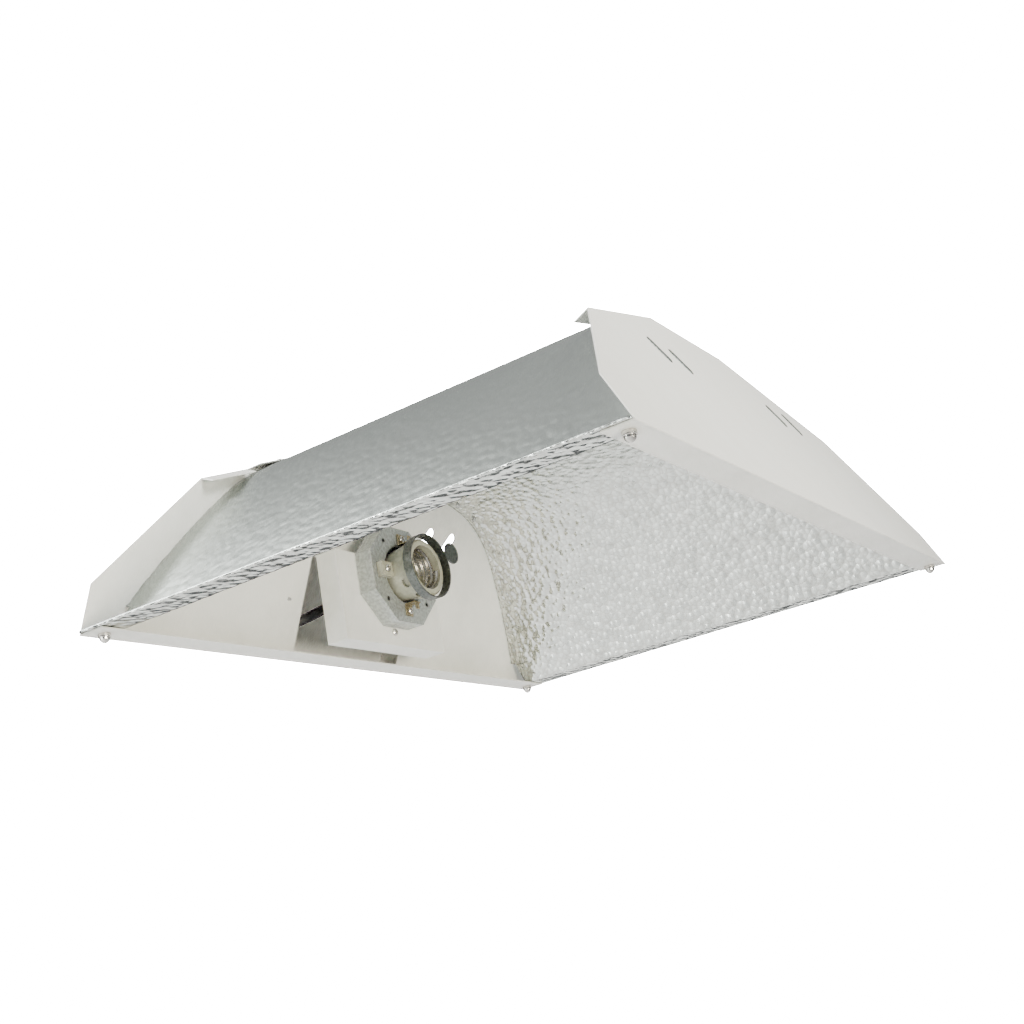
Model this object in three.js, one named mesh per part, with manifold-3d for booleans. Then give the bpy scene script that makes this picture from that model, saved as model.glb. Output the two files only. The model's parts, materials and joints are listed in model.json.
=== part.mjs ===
// Open reflector hood for a horizontal high-intensity grow lamp.
// Two hammered aluminium sheets run between two leaning, powder-coated end plates.
// The left plate carries a vertical socket bracket with an octagon box and a mogul lampholder.
//
// Frame: millimetres, +X along the lamp from the socket end, +Y across, +Z up.
// Heights inside the hood group are counted from the opening plane. The exported group is
// lowered so that its origin lies midway between the four pairs of hanger slots.

import * as THREE from "three";
import * as BufferGeometryUtils from "three/addons/utils/BufferGeometryUtils.js";
import Module from "manifold-3d";

const wasm = await Module();
wasm.setup();

// ---------------------------------------------------------------- driving dimensions

const SPAN = 700; // width of the end plates at the opening
const LENGTH = 542; // distance over the end plates at the opening
const LEAN = Math.atan(0.456); // lean of the end plates from the vertical
const PLATE = 1.2; // steel sheet thickness
const SHEET = 0.8; // reflector sheet thickness
const GAP = 0.3; // clearance between pieces that touch
const APEX = 187.4; // height of the reflector's inner crown
const HANG_SLOT_RISE = 151; // hanger slot centres, measured up the plate
const HANG_SLOT = {
  length: 31, width: 11, tilt: THREE.MathUtils.degToRad(35), pairHalf: 125, apart: 40, shift: 10,
};

// End plate outline above the opening, as half widths and rises up the plate
const EAVE = { half: 350, rise: 45 };
const SHOULDER = { half: 251, rise: 155 };
const CREST = { half: 73, rise: 217.5 };
const BOTTOM_FLANGE = 28;
const TOP_FLANGE = { from: 200, width: 16 };
const RIVET_TAB = { from: 80, to: 196, width: 15 };

// Reflector section: crown, shoulder and side arcs, tangent to each other
const CROWN_ARC = { radius: 683, end: THREE.MathUtils.degToRad(12.1) };
const SHOULDER_ARC = { radius: 156, end: THREE.MathUtils.degToRad(45) };
const SIDE_RADIUS = 766;
const SHEET_FLANGE = 29;
const SHEET_LIP = 3;

// Socket bracket, a pan that stands upright on the leaning left plate
const BRACKET = { face: -198.5, half: 81, bottom: 4.5, top: 97, depth: 25 };
const CUTOUT = { half: 84, bottom: 9, top: 98.5 };

// Lampholder on the lamp axis
const AXIS_HEIGHT = 74;
const BOX = { flats: 101.6, depth: 20 };
const PORCELAIN_RADIUS = 30;
const SHELL_RADIUS = 21;
const MOUTH_X = -143;

// Wiring cover on the outside of the left plate, in the plate's own directions
const COVER = { half: 97, low: 3, high: 122, depth: 32 };

// Mains lead
const CORD_RADIUS = 5;
const COIL = { x: -55, y: 22, meanRadius: 60, turnsAcross: 5, layers: 2 };

const HALF = LENGTH / 2;
const UP_THE_PLATE = Math.cos(LEAN); // height gained for each millimetre up the plate
const HANG_HEIGHT = HANG_SLOT_RISE * UP_THE_PLATE;

// ---------------------------------------------------------------- materials

function finish(color, roughness, metalness) {
  return new THREE.MeshStandardMaterial({ color, roughness, metalness });
}

const whiteCoat = finish(0xd9dbd4, 0.45, 0.0);
const hammered = finish(0xc9cbc9, 0.28, 1.0);
const galvanised = finish(0x9a9c99, 0.45, 0.9);
const zinc = finish(0xb9bab7, 0.3, 1.0);
const nickel = finish(0xcac6bb, 0.18, 1.0);
const brass = finish(0xb99a55, 0.3, 1.0);
const darkSteel = finish(0x4a4c4a, 0.45, 0.8);
const porcelain = finish(0xb5b49c, 0.25, 0.0);
const blackRubber = finish(0x171717, 0.6, 0.0);
const blackWire = finish(0x1b1b1b, 0.5, 0.0);
const whiteWire = finish(0xd8d6cf, 0.5, 0.0);

// ---------------------------------------------------------------- solid helpers

function toManifold(geometry) {
  const bare = geometry.clone();
  bare.deleteAttribute("normal");
  bare.deleteAttribute("uv");
  const merged = BufferGeometryUtils.mergeVertices(bare, 1e-4);
  return new wasm.Manifold(
    new wasm.Mesh({
      numProp: 3,
      vertProperties: new Float32Array(merged.attributes.position.array),
      triVerts: new Uint32Array(merged.index.array),
    })
  );
}

function toGeometry(solid) {
  const mesh = solid.getMesh();
  const geometry = new THREE.BufferGeometry();
  geometry.setAttribute("position", new THREE.BufferAttribute(mesh.vertProperties, 3));
  geometry.setIndex(new THREE.BufferAttribute(mesh.triVerts, 1));
  geometry.computeVertexNormals();
  return geometry;
}

function union(parts) {
  return toGeometry(parts.map(toManifold).reduce((sum, part) => sum.add(part)));
}

function cut(body, tools) {
  return toGeometry(tools.map(toManifold).reduce((rest, tool) => rest.subtract(tool), toManifold(body)));
}

function piece(name, geometry, material) {
  const mesh = new THREE.Mesh(geometry, material);
  mesh.name = name;
  return mesh;
}

// A box given by its low and high corners.
function block(low, high) {
  const size = high.map((value, i) => value - low[i]);
  const centre = high.map((value, i) => (value + low[i]) / 2);
  return new THREE.BoxGeometry(...size).translate(...centre);
}

// An outline of [a, b] points, extruded along +Z from one level to another.
function prism(points, from, to) {
  const shape = new THREE.Shape(points.map(([a, b]) => new THREE.Vector2(a, b)));
  return new THREE.ExtrudeGeometry(shape, { depth: to - from, bevelEnabled: false }).translate(0, 0, from);
}

// A solid of revolution about Z from [radius, height] points, counter-clockwise in (r, z).
function turned(points, segments = 24) {
  const profile = points.map(([r, z]) => new THREE.Vector2(r, z));
  return new THREE.LatheGeometry(profile, segments).rotateX(Math.PI / 2);
}

// A closed ring section needs its first point again at the end.
function ring(points, segments = 32) {
  return turned([...points, points[0]], segments);
}

function rod(radius, from, to, segments = 24) {
  return turned([[0, from], [radius, from], [radius, to], [0, to]], segments);
}

// Turns a solid made about Z so that it lies about +X at the lamp axis.
function alongX(geometry, x = 0, y = 0, z = AXIS_HEIGHT) {
  return geometry.rotateY(Math.PI / 2).translate(x, y, z);
}

function tube(points, radius, sides, steps) {
  const section = new THREE.Shape();
  for (let i = 0; i < sides; i += 1) {
    const angle = (i / sides) * 2 * Math.PI;
    const corner = [radius * Math.cos(angle), radius * Math.sin(angle)];
    if (i === 0) section.moveTo(...corner);
    else section.lineTo(...corner);
  }
  const route = new THREE.CatmullRomCurve3(points.map((point) => new THREE.Vector3(...point)));
  return new THREE.ExtrudeGeometry(section, { extrudePath: route, steps, bevelEnabled: false });
}

// ---------------------------------------------------------------- end plates

// Local directions of an end plate: x across, y up the plate, z outwards from its outer face.
const plateFrame = new THREE.Matrix4().makeBasis(
  new THREE.Vector3(0, 1, 0),
  new THREE.Vector3(-Math.sin(LEAN), 0, Math.cos(LEAN)),
  new THREE.Vector3(Math.cos(LEAN), 0, Math.sin(LEAN))
);
plateFrame.setPosition(HALF, 0, 0);

const insidePlate = (z) => HALF - Math.tan(LEAN) * z - PLATE / Math.cos(LEAN);

function plateWeb() {
  const right = [[EAVE.half, 0], ...[EAVE, SHOULDER, CREST].map(({ half, rise }) => [half, rise])];
  const left = right.map(([across, rise]) => [-across, rise]).reverse();
  return prism([...right, ...left], -PLATE, 0);
}

// Place on the straight edge from the crest to the shoulder, given by its distance from the middle.
function onTopEdge(across) {
  return CREST.rise + ((SHOULDER.rise - CREST.rise) * (across - CREST.half)) / (SHOULDER.half - CREST.half);
}

// Stiffening flange beside the shoulder, folded square to the plate.
function plateTopFlange(side) {
  const line = [[TOP_FLANGE.from, onTopEdge(TOP_FLANGE.from)], [SHOULDER.half, SHOULDER.rise]];
  const under = line.map(([across, rise]) => [across, rise - PLATE]).reverse();
  const outline = [...line, ...under].map(([across, rise]) => [side * across, rise]);
  return prism(outline, -TOP_FLANGE.width, -PLATE / 2);
}

// Riveting tab beside the crest, folded level along the lamp so that it lies on the sheet.
function rivetTab(side) {
  const line = [RIVET_TAB.from, RIVET_TAB.to].map((across) => [across, onTopEdge(across) * UP_THE_PLATE]);
  const under = line.map(([across, height]) => [across, height - PLATE]).reverse();
  const section = [...line, ...under].map(([across, height]) => [side * across, height]);
  return alongLamp(section, (z) => insidePlate(z) - RIVET_TAB.width, (z) => insidePlate(z) + PLATE / 2);
}

// The bottom flange is level, so it leaves the leaning plate at an angle.
function plateBottomFlange() {
  return block([HALF - BOTTOM_FLANGE, -SPAN / 2, 0], [HALF - PLATE / 2, SPAN / 2, PLATE]);
}

function roundEnded(length, width, tilt, across, rise) {
  const outline = [];
  const steps = 6;
  for (const end of [1, -1]) {
    for (let i = 0; i <= steps; i += 1) {
      const angle = (end > 0 ? 0 : Math.PI) + (i / steps) * Math.PI;
      const straight = ((length - width) / 2) * end;
      outline.push([(width / 2) * Math.cos(angle), straight + (width / 2) * Math.sin(angle)]);
    }
  }
  return prism(outline, -3, 3).rotateZ(tilt).translate(across, rise, 0);
}

// Two slanted slots side by side on each half of the plate take the hangers.
function hangerSlots() {
  const { length, width, tilt, pairHalf, apart, shift } = HANG_SLOT;
  const pairs = [-1, 1].map((side) => side * pairHalf + shift);
  const centres = pairs.flatMap((middle) => [middle - apart / 2, middle + apart / 2]);
  return centres.map((across) => roundEnded(length, width, tilt, across, HANG_SLOT_RISE));
}

const CORNER_SCREW = { x: HALF - 14, y: SPAN / 2 - 15, radius: 2.4, hole: 2.8 };

function cornerHole(end, side) {
  return rod(CORNER_SCREW.hole, -5, 8, 12).translate(end * CORNER_SCREW.x, side * CORNER_SCREW.y, 0);
}

// Two rivets through each tab. The grip reaches through the tab and the sheet, and is longer towards
// the crown, where the sheet curves away below the tab.
const TAB_RIVET = { inward: 8, radius: 1.9, hole: 2.2 };
const TAB_RIVET_ROWS = [{ row: "high", across: 129, grip: 6 }, { row: "low", across: 165, grip: 3.5 }];

function tabRivetPlaces() {
  return [-1, 1].flatMap((side) =>
    TAB_RIVET_ROWS.map(({ row, across, grip }) => {
      const height = onTopEdge(across) * UP_THE_PLATE;
      return { row, grip, y: side * across, z: height, tilt: -side * TAB_SLOPE };
    })
  );
}

const TAB_SLOPE = Math.atan(((CREST.rise - SHOULDER.rise) * UP_THE_PLATE) / (SHOULDER.half - CREST.half));

// Stands a solid made about +Z square on a tab, at the right-hand end or the left-hand one.
function onTab(geometry, place, end = 1) {
  const x = end * (insidePlate(place.z) - TAB_RIVET.inward);
  return geometry.rotateX(place.tilt).translate(x, place.y, place.z);
}

function tabHoles() {
  return tabRivetPlaces().map((place) => onTab(rod(TAB_RIVET.hole, -6, 6, 10), place));
}

function endPlate(extraCuts) {
  const body = union([
    plateWeb().applyMatrix4(plateFrame),
    plateTopFlange(1).applyMatrix4(plateFrame),
    plateTopFlange(-1).applyMatrix4(plateFrame),
    rivetTab(1),
    rivetTab(-1),
    plateBottomFlange(),
  ]);
  const slots = hangerSlots().map((slot) => slot.applyMatrix4(plateFrame));
  return cut(body, [...slots, cornerHole(1, -1), cornerHole(1, 1), ...tabHoles(), ...extraCuts]);
}

// ---------------------------------------------------------------- reflector sheets

function arcPoints(start, arc, from, to, steps, offset) {
  const points = [];
  for (let i = 1; i <= steps; i += 1) {
    const angle = from + ((to - from) * i) / steps;
    const radius = arc + offset;
    points.push([
      start[0] + radius * (Math.sin(angle) - Math.sin(from)),
      start[1] + radius * (Math.cos(angle) - Math.cos(from)),
    ]);
  }
  return points;
}

// Height at which the sheet turns out into its bottom flange, clear of the plate's flange.
const FOLD_HEIGHT = PLATE + GAP;

// Half section of the reflector, from the crown seam out to the bottom fold.
function sheetLine(offset) {
  const seam = 1;
  const first = Math.asin(seam / CROWN_ARC.radius);
  const points = [[seam, APEX + offset]];
  points.push(...arcPoints(points.at(-1), CROWN_ARC.radius, first, CROWN_ARC.end, 8, offset));
  points.push(...arcPoints(points.at(-1), SHOULDER_ARC.radius, CROWN_ARC.end, SHOULDER_ARC.end, 8, offset));
  const start = points.at(-1);
  const drop = start[1] - FOLD_HEIGHT - offset;
  const last = Math.acos(Math.cos(SHOULDER_ARC.end) - drop / (SIDE_RADIUS + offset));
  points.push(...arcPoints(start, SIDE_RADIUS, SHOULDER_ARC.end, last, 12, offset));
  return points;
}

function sheetSection() {
  const inner = sheetLine(0);
  const outer = sheetLine(SHEET);
  const foot = inner.at(-1);
  const edge = foot[0] + SHEET_FLANGE;
  return [
    ...inner,
    [edge, FOLD_HEIGHT],
    [edge, FOLD_HEIGHT + SHEET_LIP],
    [edge - SHEET, FOLD_HEIGHT + SHEET_LIP],
    [edge - SHEET, FOLD_HEIGHT + SHEET],
    ...outer.reverse(),
  ];
}

// Runs a section in (across, height) along X, between two ends that may lean with the height.
function alongLamp(section, lowEnd, highEnd) {
  const geometry = prism(section, -1, 1).rotateX(Math.PI / 2).rotateZ(Math.PI / 2);
  const position = geometry.attributes.position;
  for (let i = 0; i < position.count; i += 1) {
    const end = position.getX(i) > 0 ? highEnd : lowEnd;
    position.setX(i, end(position.getZ(i)));
  }
  return geometry;
}

function betweenPlates(section, clearance) {
  return alongLamp(section, (z) => clearance - insidePlate(z), (z) => insidePlate(z) - clearance);
}

// A corner relief lets the bottom flange be folded at each end of the sheet.
function cornerReliefs() {
  const foot = sheetLine(0).at(-1)[0];
  const relief = { width: 13, height: 24, inward: 16 };
  return [-1, 1].map((side) => {
    const x = side * (HALF - relief.width / 2);
    return block(
      [x - relief.width, foot - relief.inward, FOLD_HEIGHT + SHEET + GAP],
      [x + relief.width, foot + 4, relief.height]
    );
  });
}

function reflectorSheet() {
  const cuts = [...cornerReliefs(), cornerHole(1, 1), cornerHole(-1, 1)];
  for (const place of tabRivetPlaces().filter(({ y }) => y > 0)) {
    cuts.push(onTab(rod(TAB_RIVET.hole, -12, 6, 10), place, 1));
    cuts.push(onTab(rod(TAB_RIVET.hole, -12, 6, 10), place, -1));
  }
  cuts.push(...SEAM_RIVET.x.map((x) => seamHole(x, 1)));
  return cut(betweenPlates(sheetSection(), GAP), cuts);
}

// ---------------------------------------------------------------- crown seam

const SEAM_RIVET = { x: [-150, 150], y: 14, radius: 1.9, hole: 2.2 };
const STRIP = { half: 24, thickness: 0.8 };

function seamHole(x, side) {
  return rod(SEAM_RIVET.hole, APEX - 6, APEX + 8, 10).translate(x, side * SEAM_RIVET.y, 0);
}

// A cover strip over the seam between the two sheets, bent to the crown.
function seamStrip() {
  const steps = 6;
  const line = (offset) => {
    const radius = CROWN_ARC.radius + offset;
    const points = [];
    for (let i = 0; i <= steps; i += 1) {
      const angle = ((i / steps) * 2 - 1) * Math.asin(STRIP.half / CROWN_ARC.radius);
      points.push([radius * Math.sin(angle), APEX - CROWN_ARC.radius + radius * Math.cos(angle)]);
    }
    return points;
  };
  const under = SHEET + GAP;
  const section = [...line(under), ...line(under + STRIP.thickness).reverse()];
  const holes = SEAM_RIVET.x.flatMap((x) => [seamHole(x, -1), seamHole(x, 1)]);
  return cut(betweenPlates(section, 6), holes);
}

// ---------------------------------------------------------------- fasteners

// A blind rivet along +Z: domed head above zero, shank and set tail below.
function rivet(shank, grip) {
  const head = shank * 2;
  const dome = 1.6;
  return turned(
    [
      [0, -grip - 2.2],
      [shank * 1.45, -grip - 2],
      [shank * 1.45, -grip],
      [shank, -grip],
      [shank, 0],
      [head, 0],
      [head * 0.8, dome * 0.7],
      [head * 0.4, dome],
      [0, dome],
    ],
    10
  );
}

// A pan-head screw along +Z with a cross recess, head above zero.
function panScrew(shank, length, headRadius) {
  const headHeight = headRadius * 0.62;
  const body = turned(
    [
      [0, -length],
      [shank, -length],
      [shank, 0],
      [headRadius, 0],
      [headRadius, headHeight * 0.55],
      [headRadius * 0.72, headHeight * 0.92],
      [0, headHeight],
    ],
    12
  );
  const slot = headRadius * 0.2;
  const reach = headRadius * 0.62;
  const floor = headHeight * 0.45;
  return cut(body, [
    block([-slot, -reach, floor], [slot, reach, headHeight * 2]),
    block([-reach, -slot, floor], [reach, slot, headHeight * 2]),
  ]);
}

// A domed cap nut on a round skirt, closed end towards -Z, with a blind hole from the top.
function domeNut(hole) {
  const radius = 5.6;
  const skirt = 3.4;
  const points = [[0, -skirt - radius * 0.9]];
  for (let i = 1; i <= 4; i += 1) {
    const angle = (i / 4) * (Math.PI / 2);
    points.push([radius * 0.86 * Math.sin(angle), -skirt - radius * 0.9 * Math.cos(angle)]);
  }
  points.push([radius, -skirt], [radius, 0], [hole, 0], [hole, -skirt - 1.5], [0, -skirt - 1.5]);
  return turned(points, 14);
}

// ---------------------------------------------------------------- socket bracket

// Local directions of the bracket's lip: x across, y up the left plate, z away from its inner face.
const lipFrame = new THREE.Matrix4().makeBasis(
  new THREE.Vector3(0, 1, 0),
  new THREE.Vector3(Math.sin(LEAN), 0, Math.cos(LEAN)),
  new THREE.Vector3(Math.cos(LEAN), 0, -Math.sin(LEAN))
);
const LIP_X = -insidePlate(BRACKET.top) + GAP / Math.cos(LEAN);
lipFrame.setPosition(LIP_X, 0, BRACKET.top);

function bracketBody() {
  const { face, half, bottom, top, depth } = BRACKET;
  const back = face - depth;
  const lip = block([-half, -PLATE, 0], [half, LIP_RISE, PLATE]).applyMatrix4(lipFrame);
  return union([
    block([face - PLATE, -half, bottom], [face, half, top]),
    block([back, -half, bottom], [face - PLATE / 2, -half + PLATE, top]),
    block([back, half - PLATE, bottom], [face - PLATE / 2, half, top]),
    block([back, -half, bottom], [face - PLATE / 2, half, bottom + PLATE]),
    block([LIP_X + GAP, -half, top - PLATE], [face - PLATE / 2, half, top]),
    lip,
  ]);
}

const LIP_RISE = 14;
const BRACKET_RIVET = { across: 55, up: 7, radius: 1.9, hole: 2.2 };
const EARTH = { y: -3, z: 18.5, hole: 2.4 };
const LEAD_HOLE = 15;

// The bracket's two rivets stand square to the leaning plate, with their heads on the lip.
function throughLip(geometry, side) {
  return geometry.translate(side * BRACKET_RIVET.across, BRACKET_RIVET.up, PLATE).applyMatrix4(lipFrame);
}

function lipHole(side) {
  return throughLip(rod(BRACKET_RIVET.hole, -6, 6, 12), side);
}

const BOX_SCREW = { y: 36, radius: 1.8, hole: 2.1 };

function socketBracket() {
  const cuts = [lipHole(-1), lipHole(1)];
  cuts.push(alongX(rod(LEAD_HOLE, -5, 5), BRACKET.face));
  cuts.push(alongX(rod(EARTH.hole, -5, 5, 12), BRACKET.face, EARTH.y, EARTH.z));
  for (const side of [-1, 1]) {
    cuts.push(alongX(rod(BOX_SCREW.hole, -5, 5, 12), BRACKET.face, side * BOX_SCREW.y));
  }
  return cut(bracketBody(), cuts);
}

// ---------------------------------------------------------------- octagon box

function octagon(flats, from, to) {
  const corner = flats / 2 / Math.cos(Math.PI / 8);
  const points = [];
  for (let i = 0; i < 8; i += 1) {
    const angle = Math.PI / 8 + (i * Math.PI) / 4;
    points.push([corner * Math.cos(angle), corner * Math.sin(angle)]);
  }
  return prism(points, from, to);
}

const BOX_BACK = BRACKET.face + GAP;
const BOX_FRONT = BOX_BACK + BOX.depth;
const EAR = { reach: 37, half: 7.5, thickness: 7, hole: 2.3 };

// A pressed steel pan: its back lies on the bracket, and its front is the pan's open mouth ring.
function holderBox() {
  const wall = 1.2;
  const pan = cut(octagon(BOX.flats, 0, BOX.depth), [
    octagon(BOX.flats - 2 * wall, wall, BOX.depth - wall),
    rod(PORCELAIN_RADIUS + 1, BOX.depth - 2 * wall, BOX.depth + 1, 32),
    rod(LEAD_HOLE, -1, wall + 1),
    ...[-1, 1].map((side) => rod(BOX_SCREW.hole, -1, wall + 1, 12).translate(0, side * BOX_SCREW.y, 0)),
    ...earHolesThrough(BOX.depth - 3, BOX.depth + 1),
    ...knockouts(),
  ]);
  return alongX(pan, BOX_BACK);
}

// Small round holes near the rim of the box front, at the places the lampholder leaves free.
function knockouts() {
  const radius = 43;
  return [128, 222, 320].map((degrees) => {
    const angle = THREE.MathUtils.degToRad(degrees);
    const at = [-radius * Math.sin(angle), radius * Math.cos(angle)];
    return rod(2.6, BOX.depth - 3, BOX.depth + 1, 12).translate(at[0], at[1], 0);
  });
}

// Centres of the two porcelain ears' screws, as [across, up] from the lamp axis.
function earPlaces() {
  return [[-EAR.reach, 0], [EAR.reach, 0]];
}

// The screws' holes through both ears, or through what lies behind them.
function earHolesThrough(from, to) {
  return earPlaces().map(([across, up]) => rod(EAR.hole, from, to, 12).translate(-up, across, 0));
}

// ---------------------------------------------------------------- lampholder

const BODY_FRONT = MOUTH_X - 6;
const BODY_BACK = BOX_BACK + 4;
const CAVITY_FLOOR = BODY_BACK + 9;

function porcelainBody() {
  const length = BODY_FRONT - BODY_BACK;
  const floor = CAVITY_FLOOR - BODY_BACK;
  const base = BOX_FRONT - BODY_BACK + GAP;
  const body = turned(
    [
      [0, 0],
      [PORCELAIN_RADIUS - 6, 0],
      [PORCELAIN_RADIUS - 4, 2],
      [PORCELAIN_RADIUS - 2, base + EAR.thickness],
      [PORCELAIN_RADIUS, length - 10],
      [PORCELAIN_RADIUS, length - 2],
      [PORCELAIN_RADIUS - 2, length],
      [0, length],
    ],
    40
  );
  const ears = earPlaces().map(([across, up]) => {
    const ear = block([-EAR.half, 0, base], [EAR.half, EAR.reach + EAR.half, base + EAR.thickness]);
    return ear.rotateZ(Math.atan2(up, across));
  });
  const earHoles = earHolesThrough(base - 2, base + 20);
  const cavity = rod(SHELL_RADIUS + 2.2, floor, length + 1, 36);
  const contactHole = rod(CONTACT.head + 0.6, -1, floor + 1, 20);
  const hollows = [cavity, contactHole, ...earHoles, ...recesses(length)];
  return alongX(cut(union([body, ...ears]), hollows), BODY_BACK);
}

// Round wire pockets sunk into the side of the porcelain.
function recesses(length) {
  const pockets = [
    { degrees: 215, back: 11, radius: 5 },
    { degrees: 252, back: 7, radius: 4.5 },
    { degrees: 35, back: 11, radius: 5 },
  ];
  return pockets.map(({ degrees, back, radius }) =>
    rod(radius, PORCELAIN_RADIUS - 4, PORCELAIN_RADIUS + 5, 14)
      .rotateX(-Math.PI / 2)
      .translate(0, 0, length - back)
      .rotateZ(THREE.MathUtils.degToRad(degrees))
  );
}

// The rolled thread of the lamp shell, as round corrugations one pitch apart.
function screwShell() {
  const pitch = 6.35;
  const depth = 1.1;
  const wall = 0.6;
  const from = CAVITY_FLOOR + 1.5;
  const length = BODY_FRONT - 1 - from;
  const steps = 20;
  const wave = (i) => depth * 0.5 * Math.cos((2 * Math.PI * i * length) / (steps * pitch));
  const outer = [];
  const inner = [];
  for (let i = 0; i <= steps; i += 1) {
    const z = (i / steps) * length;
    outer.push([SHELL_RADIUS + wave(i), z]);
    inner.push([SHELL_RADIUS - wall + wave(i), z]);
  }
  const floor = [[10, wall], [10, 0]];
  return alongX(ring([...outer, ...inner.reverse().slice(0, -1), ...floor], 24), from);
}

const RING = { outer: 34, wall: 1.5, width: 10, tabRadius: 11.5, tabReach: 46, tabAngle: 25 };

// A steel band round the mouth of the porcelain, with a round ear on its far side.
function gripRing() {
  const inner = RING.outer - RING.wall;
  const band = ring([[inner, 0], [RING.outer, 0], [RING.outer, RING.width], [inner, RING.width]], 40);
  const angle = THREE.MathUtils.degToRad(RING.tabAngle);
  const at = [-RING.tabReach * Math.sin(angle), RING.tabReach * Math.cos(angle)];
  const tab = rod(RING.tabRadius, RING.width - RING.wall, RING.width, 28).translate(at[0], at[1], 0);
  const neck = block([-5, inner + 0.4, RING.width - RING.wall], [5, RING.tabReach, RING.width]);
  const seats = [30, 150, 270].map((degrees) =>
    block([-4, PORCELAIN_RADIUS + GAP, 0], [4, inner + 0.4, 3]).rotateZ(THREE.MathUtils.degToRad(degrees))
  );
  return alongX(union([band, tab, neck.rotateZ(angle), ...seats]), MOUTH_X - RING.width);
}

// ---------------------------------------------------------------- centre contact

const CONTACT = { stem: 2, head: 6, shoulder: 4.2 };

// A plunger: its button stands in the floor of the shell, and its stem runs back through the spring.
function centreContact() {
  const back = BODY_BACK - CAVITY_FLOOR + 1.2;
  const points = [
    [0, back],
    [CONTACT.stem, back],
    [CONTACT.stem, 0.8],
    [CONTACT.shoulder, 0.8],
    [CONTACT.shoulder, 5.2],
    [CONTACT.head, 5.2],
    [CONTACT.head, 7],
    [CONTACT.head * 0.6, 8.6],
    [0, 9],
  ];
  return alongX(turned(points, 24), CAVITY_FLOOR);
}

// The helical spring round the stem, between its seat and the plunger's shoulder.
function contactSpring() {
  const wire = 0.5;
  const radius = 3.3;
  const from = BODY_BACK - CAVITY_FLOOR + 2.4;
  const to = 0.1;
  const turns = 4;
  const perTurn = 10;
  const points = [];
  for (let i = 0; i <= turns * perTurn; i += 1) {
    const angle = (i / perTurn) * 2 * Math.PI;
    const z = from + ((to - from) * i) / (turns * perTurn);
    points.push([radius * Math.cos(angle), radius * Math.sin(angle), z]);
  }
  return alongX(tube(points, wire, 6, turns * perTurn), CAVITY_FLOOR);
}

// The brass seat that closes the back of the contact hole and takes the live lead.
function contactSeat() {
  const from = BODY_BACK - CAVITY_FLOOR + 0.4;
  const bore = CONTACT.stem + 0.25;
  const front = from + 1.2;
  const section = [[bore, from], [CONTACT.head, from], [CONTACT.head, front], [bore, front]];
  return alongX(ring(section, 20), CAVITY_FLOOR);
}

// ---------------------------------------------------------------- terminals

const TERMINAL = { x: BOX_FRONT + GAP, width: 11, reach: [31.5, 44], thickness: 1.2 };

// A bent strap on the box front beside the porcelain, with a binding screw.
function terminalStrap(degrees) {
  const { width, reach, thickness } = TERMINAL;
  const foot = block([-width / 2, reach[0], 0], [width / 2, reach[1], thickness]);
  const upright = block([-width / 2, reach[0], 0], [width / 2, reach[0] + thickness, 12]);
  const tongue = block([-width / 4, reach[0], 12 - thickness], [width / 4, reach[0] + 8, 12]);
  const hole = rod(1.9, -1, 3, 12).translate(0, (reach[0] + reach[1]) / 2 + 1, 0);
  const strap = cut(union([foot, upright, tongue]), [hole]);
  return alongX(strap.rotateZ(THREE.MathUtils.degToRad(degrees)), TERMINAL.x);
}

function terminalScrew(degrees) {
  const middle = (TERMINAL.reach[0] + TERMINAL.reach[1]) / 2 + 1;
  const screw = panScrew(1.6, 1.4, 3.6).translate(0, middle, TERMINAL.thickness + GAP);
  return alongX(screw.rotateZ(THREE.MathUtils.degToRad(degrees)), TERMINAL.x);
}

// ---------------------------------------------------------------- wiring cover

// A shallow pan over the back of the cut-out, made in the plate's own directions.
function wiringCover() {
  const { half, low, high, depth } = COVER;
  const outer = block([-half, low, GAP], [half, high, depth]);
  const inner = block([-half + PLATE, low + PLATE, GAP - 1], [half - PLATE, high - PLATE, depth - PLATE]);
  const tabs = [-1, 1].map((side) => {
    const ends = [side * (half - PLATE / 2), side * (half + 16)].sort((a, b) => a - b);
    return block([ends[0], 50, GAP], [ends[1], 72, GAP + PLATE]);
  });
  const glandHole = rod(GLAND.hole, -4, 4)
    .rotateY(Math.PI / 2)
    .translate(half - PLATE / 2, GLAND.rise, GLAND.out);
  return cut(union([cut(outer, [inner]), ...tabs]), [coverHole(-1), coverHole(1), glandHole]);
}

// Screw hole beside the cover, through its tab and the plate behind it.
function coverHole(side) {
  return rod(COVER_SCREW.hole, -4, 4, 12).translate(side * COVER_SCREW.across, COVER_SCREW.rise, 0);
}

const COVER_SCREW = { across: COVER.half + 8.5, rise: 61, radius: 1.7, hole: 2 };
const GLAND = { rise: 35, out: 15, hole: 8.3, bore: CORD_RADIUS + GAP, inward: 7, outward: 30 };

// Tapered strain relief in the near side wall of the cover, along local +X.
function cordGland() {
  const face = COVER.half + GAP;
  const inside = COVER.half - PLATE - GAP;
  const shank = GLAND.hole - GAP;
  const profile = [
    [GLAND.bore, inside - GLAND.inward],
    [shank, inside - GLAND.inward],
    [shank, face],
    [11, face],
    [11, face + 5],
    [9.2, face + 7],
    [8.6, face + 16],
    [7.2, face + GLAND.outward],
    [GLAND.bore, face + GLAND.outward],
  ];
  return ring(profile, 20).rotateY(Math.PI / 2).translate(0, GLAND.rise, GLAND.out);
}

function glandNut() {
  const inside = COVER.half - PLATE - GAP;
  const bore = rod(GLAND.hole, -1, 6);
  const nut = new THREE.CylinderGeometry(11.5, 11.5, 4, 6).rotateX(Math.PI / 2).translate(0, 0, 2);
  return cut(nut, [bore]).rotateY(-Math.PI / 2).translate(inside, GLAND.rise, GLAND.out);
}

// ---------------------------------------------------------------- mains lead

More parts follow.
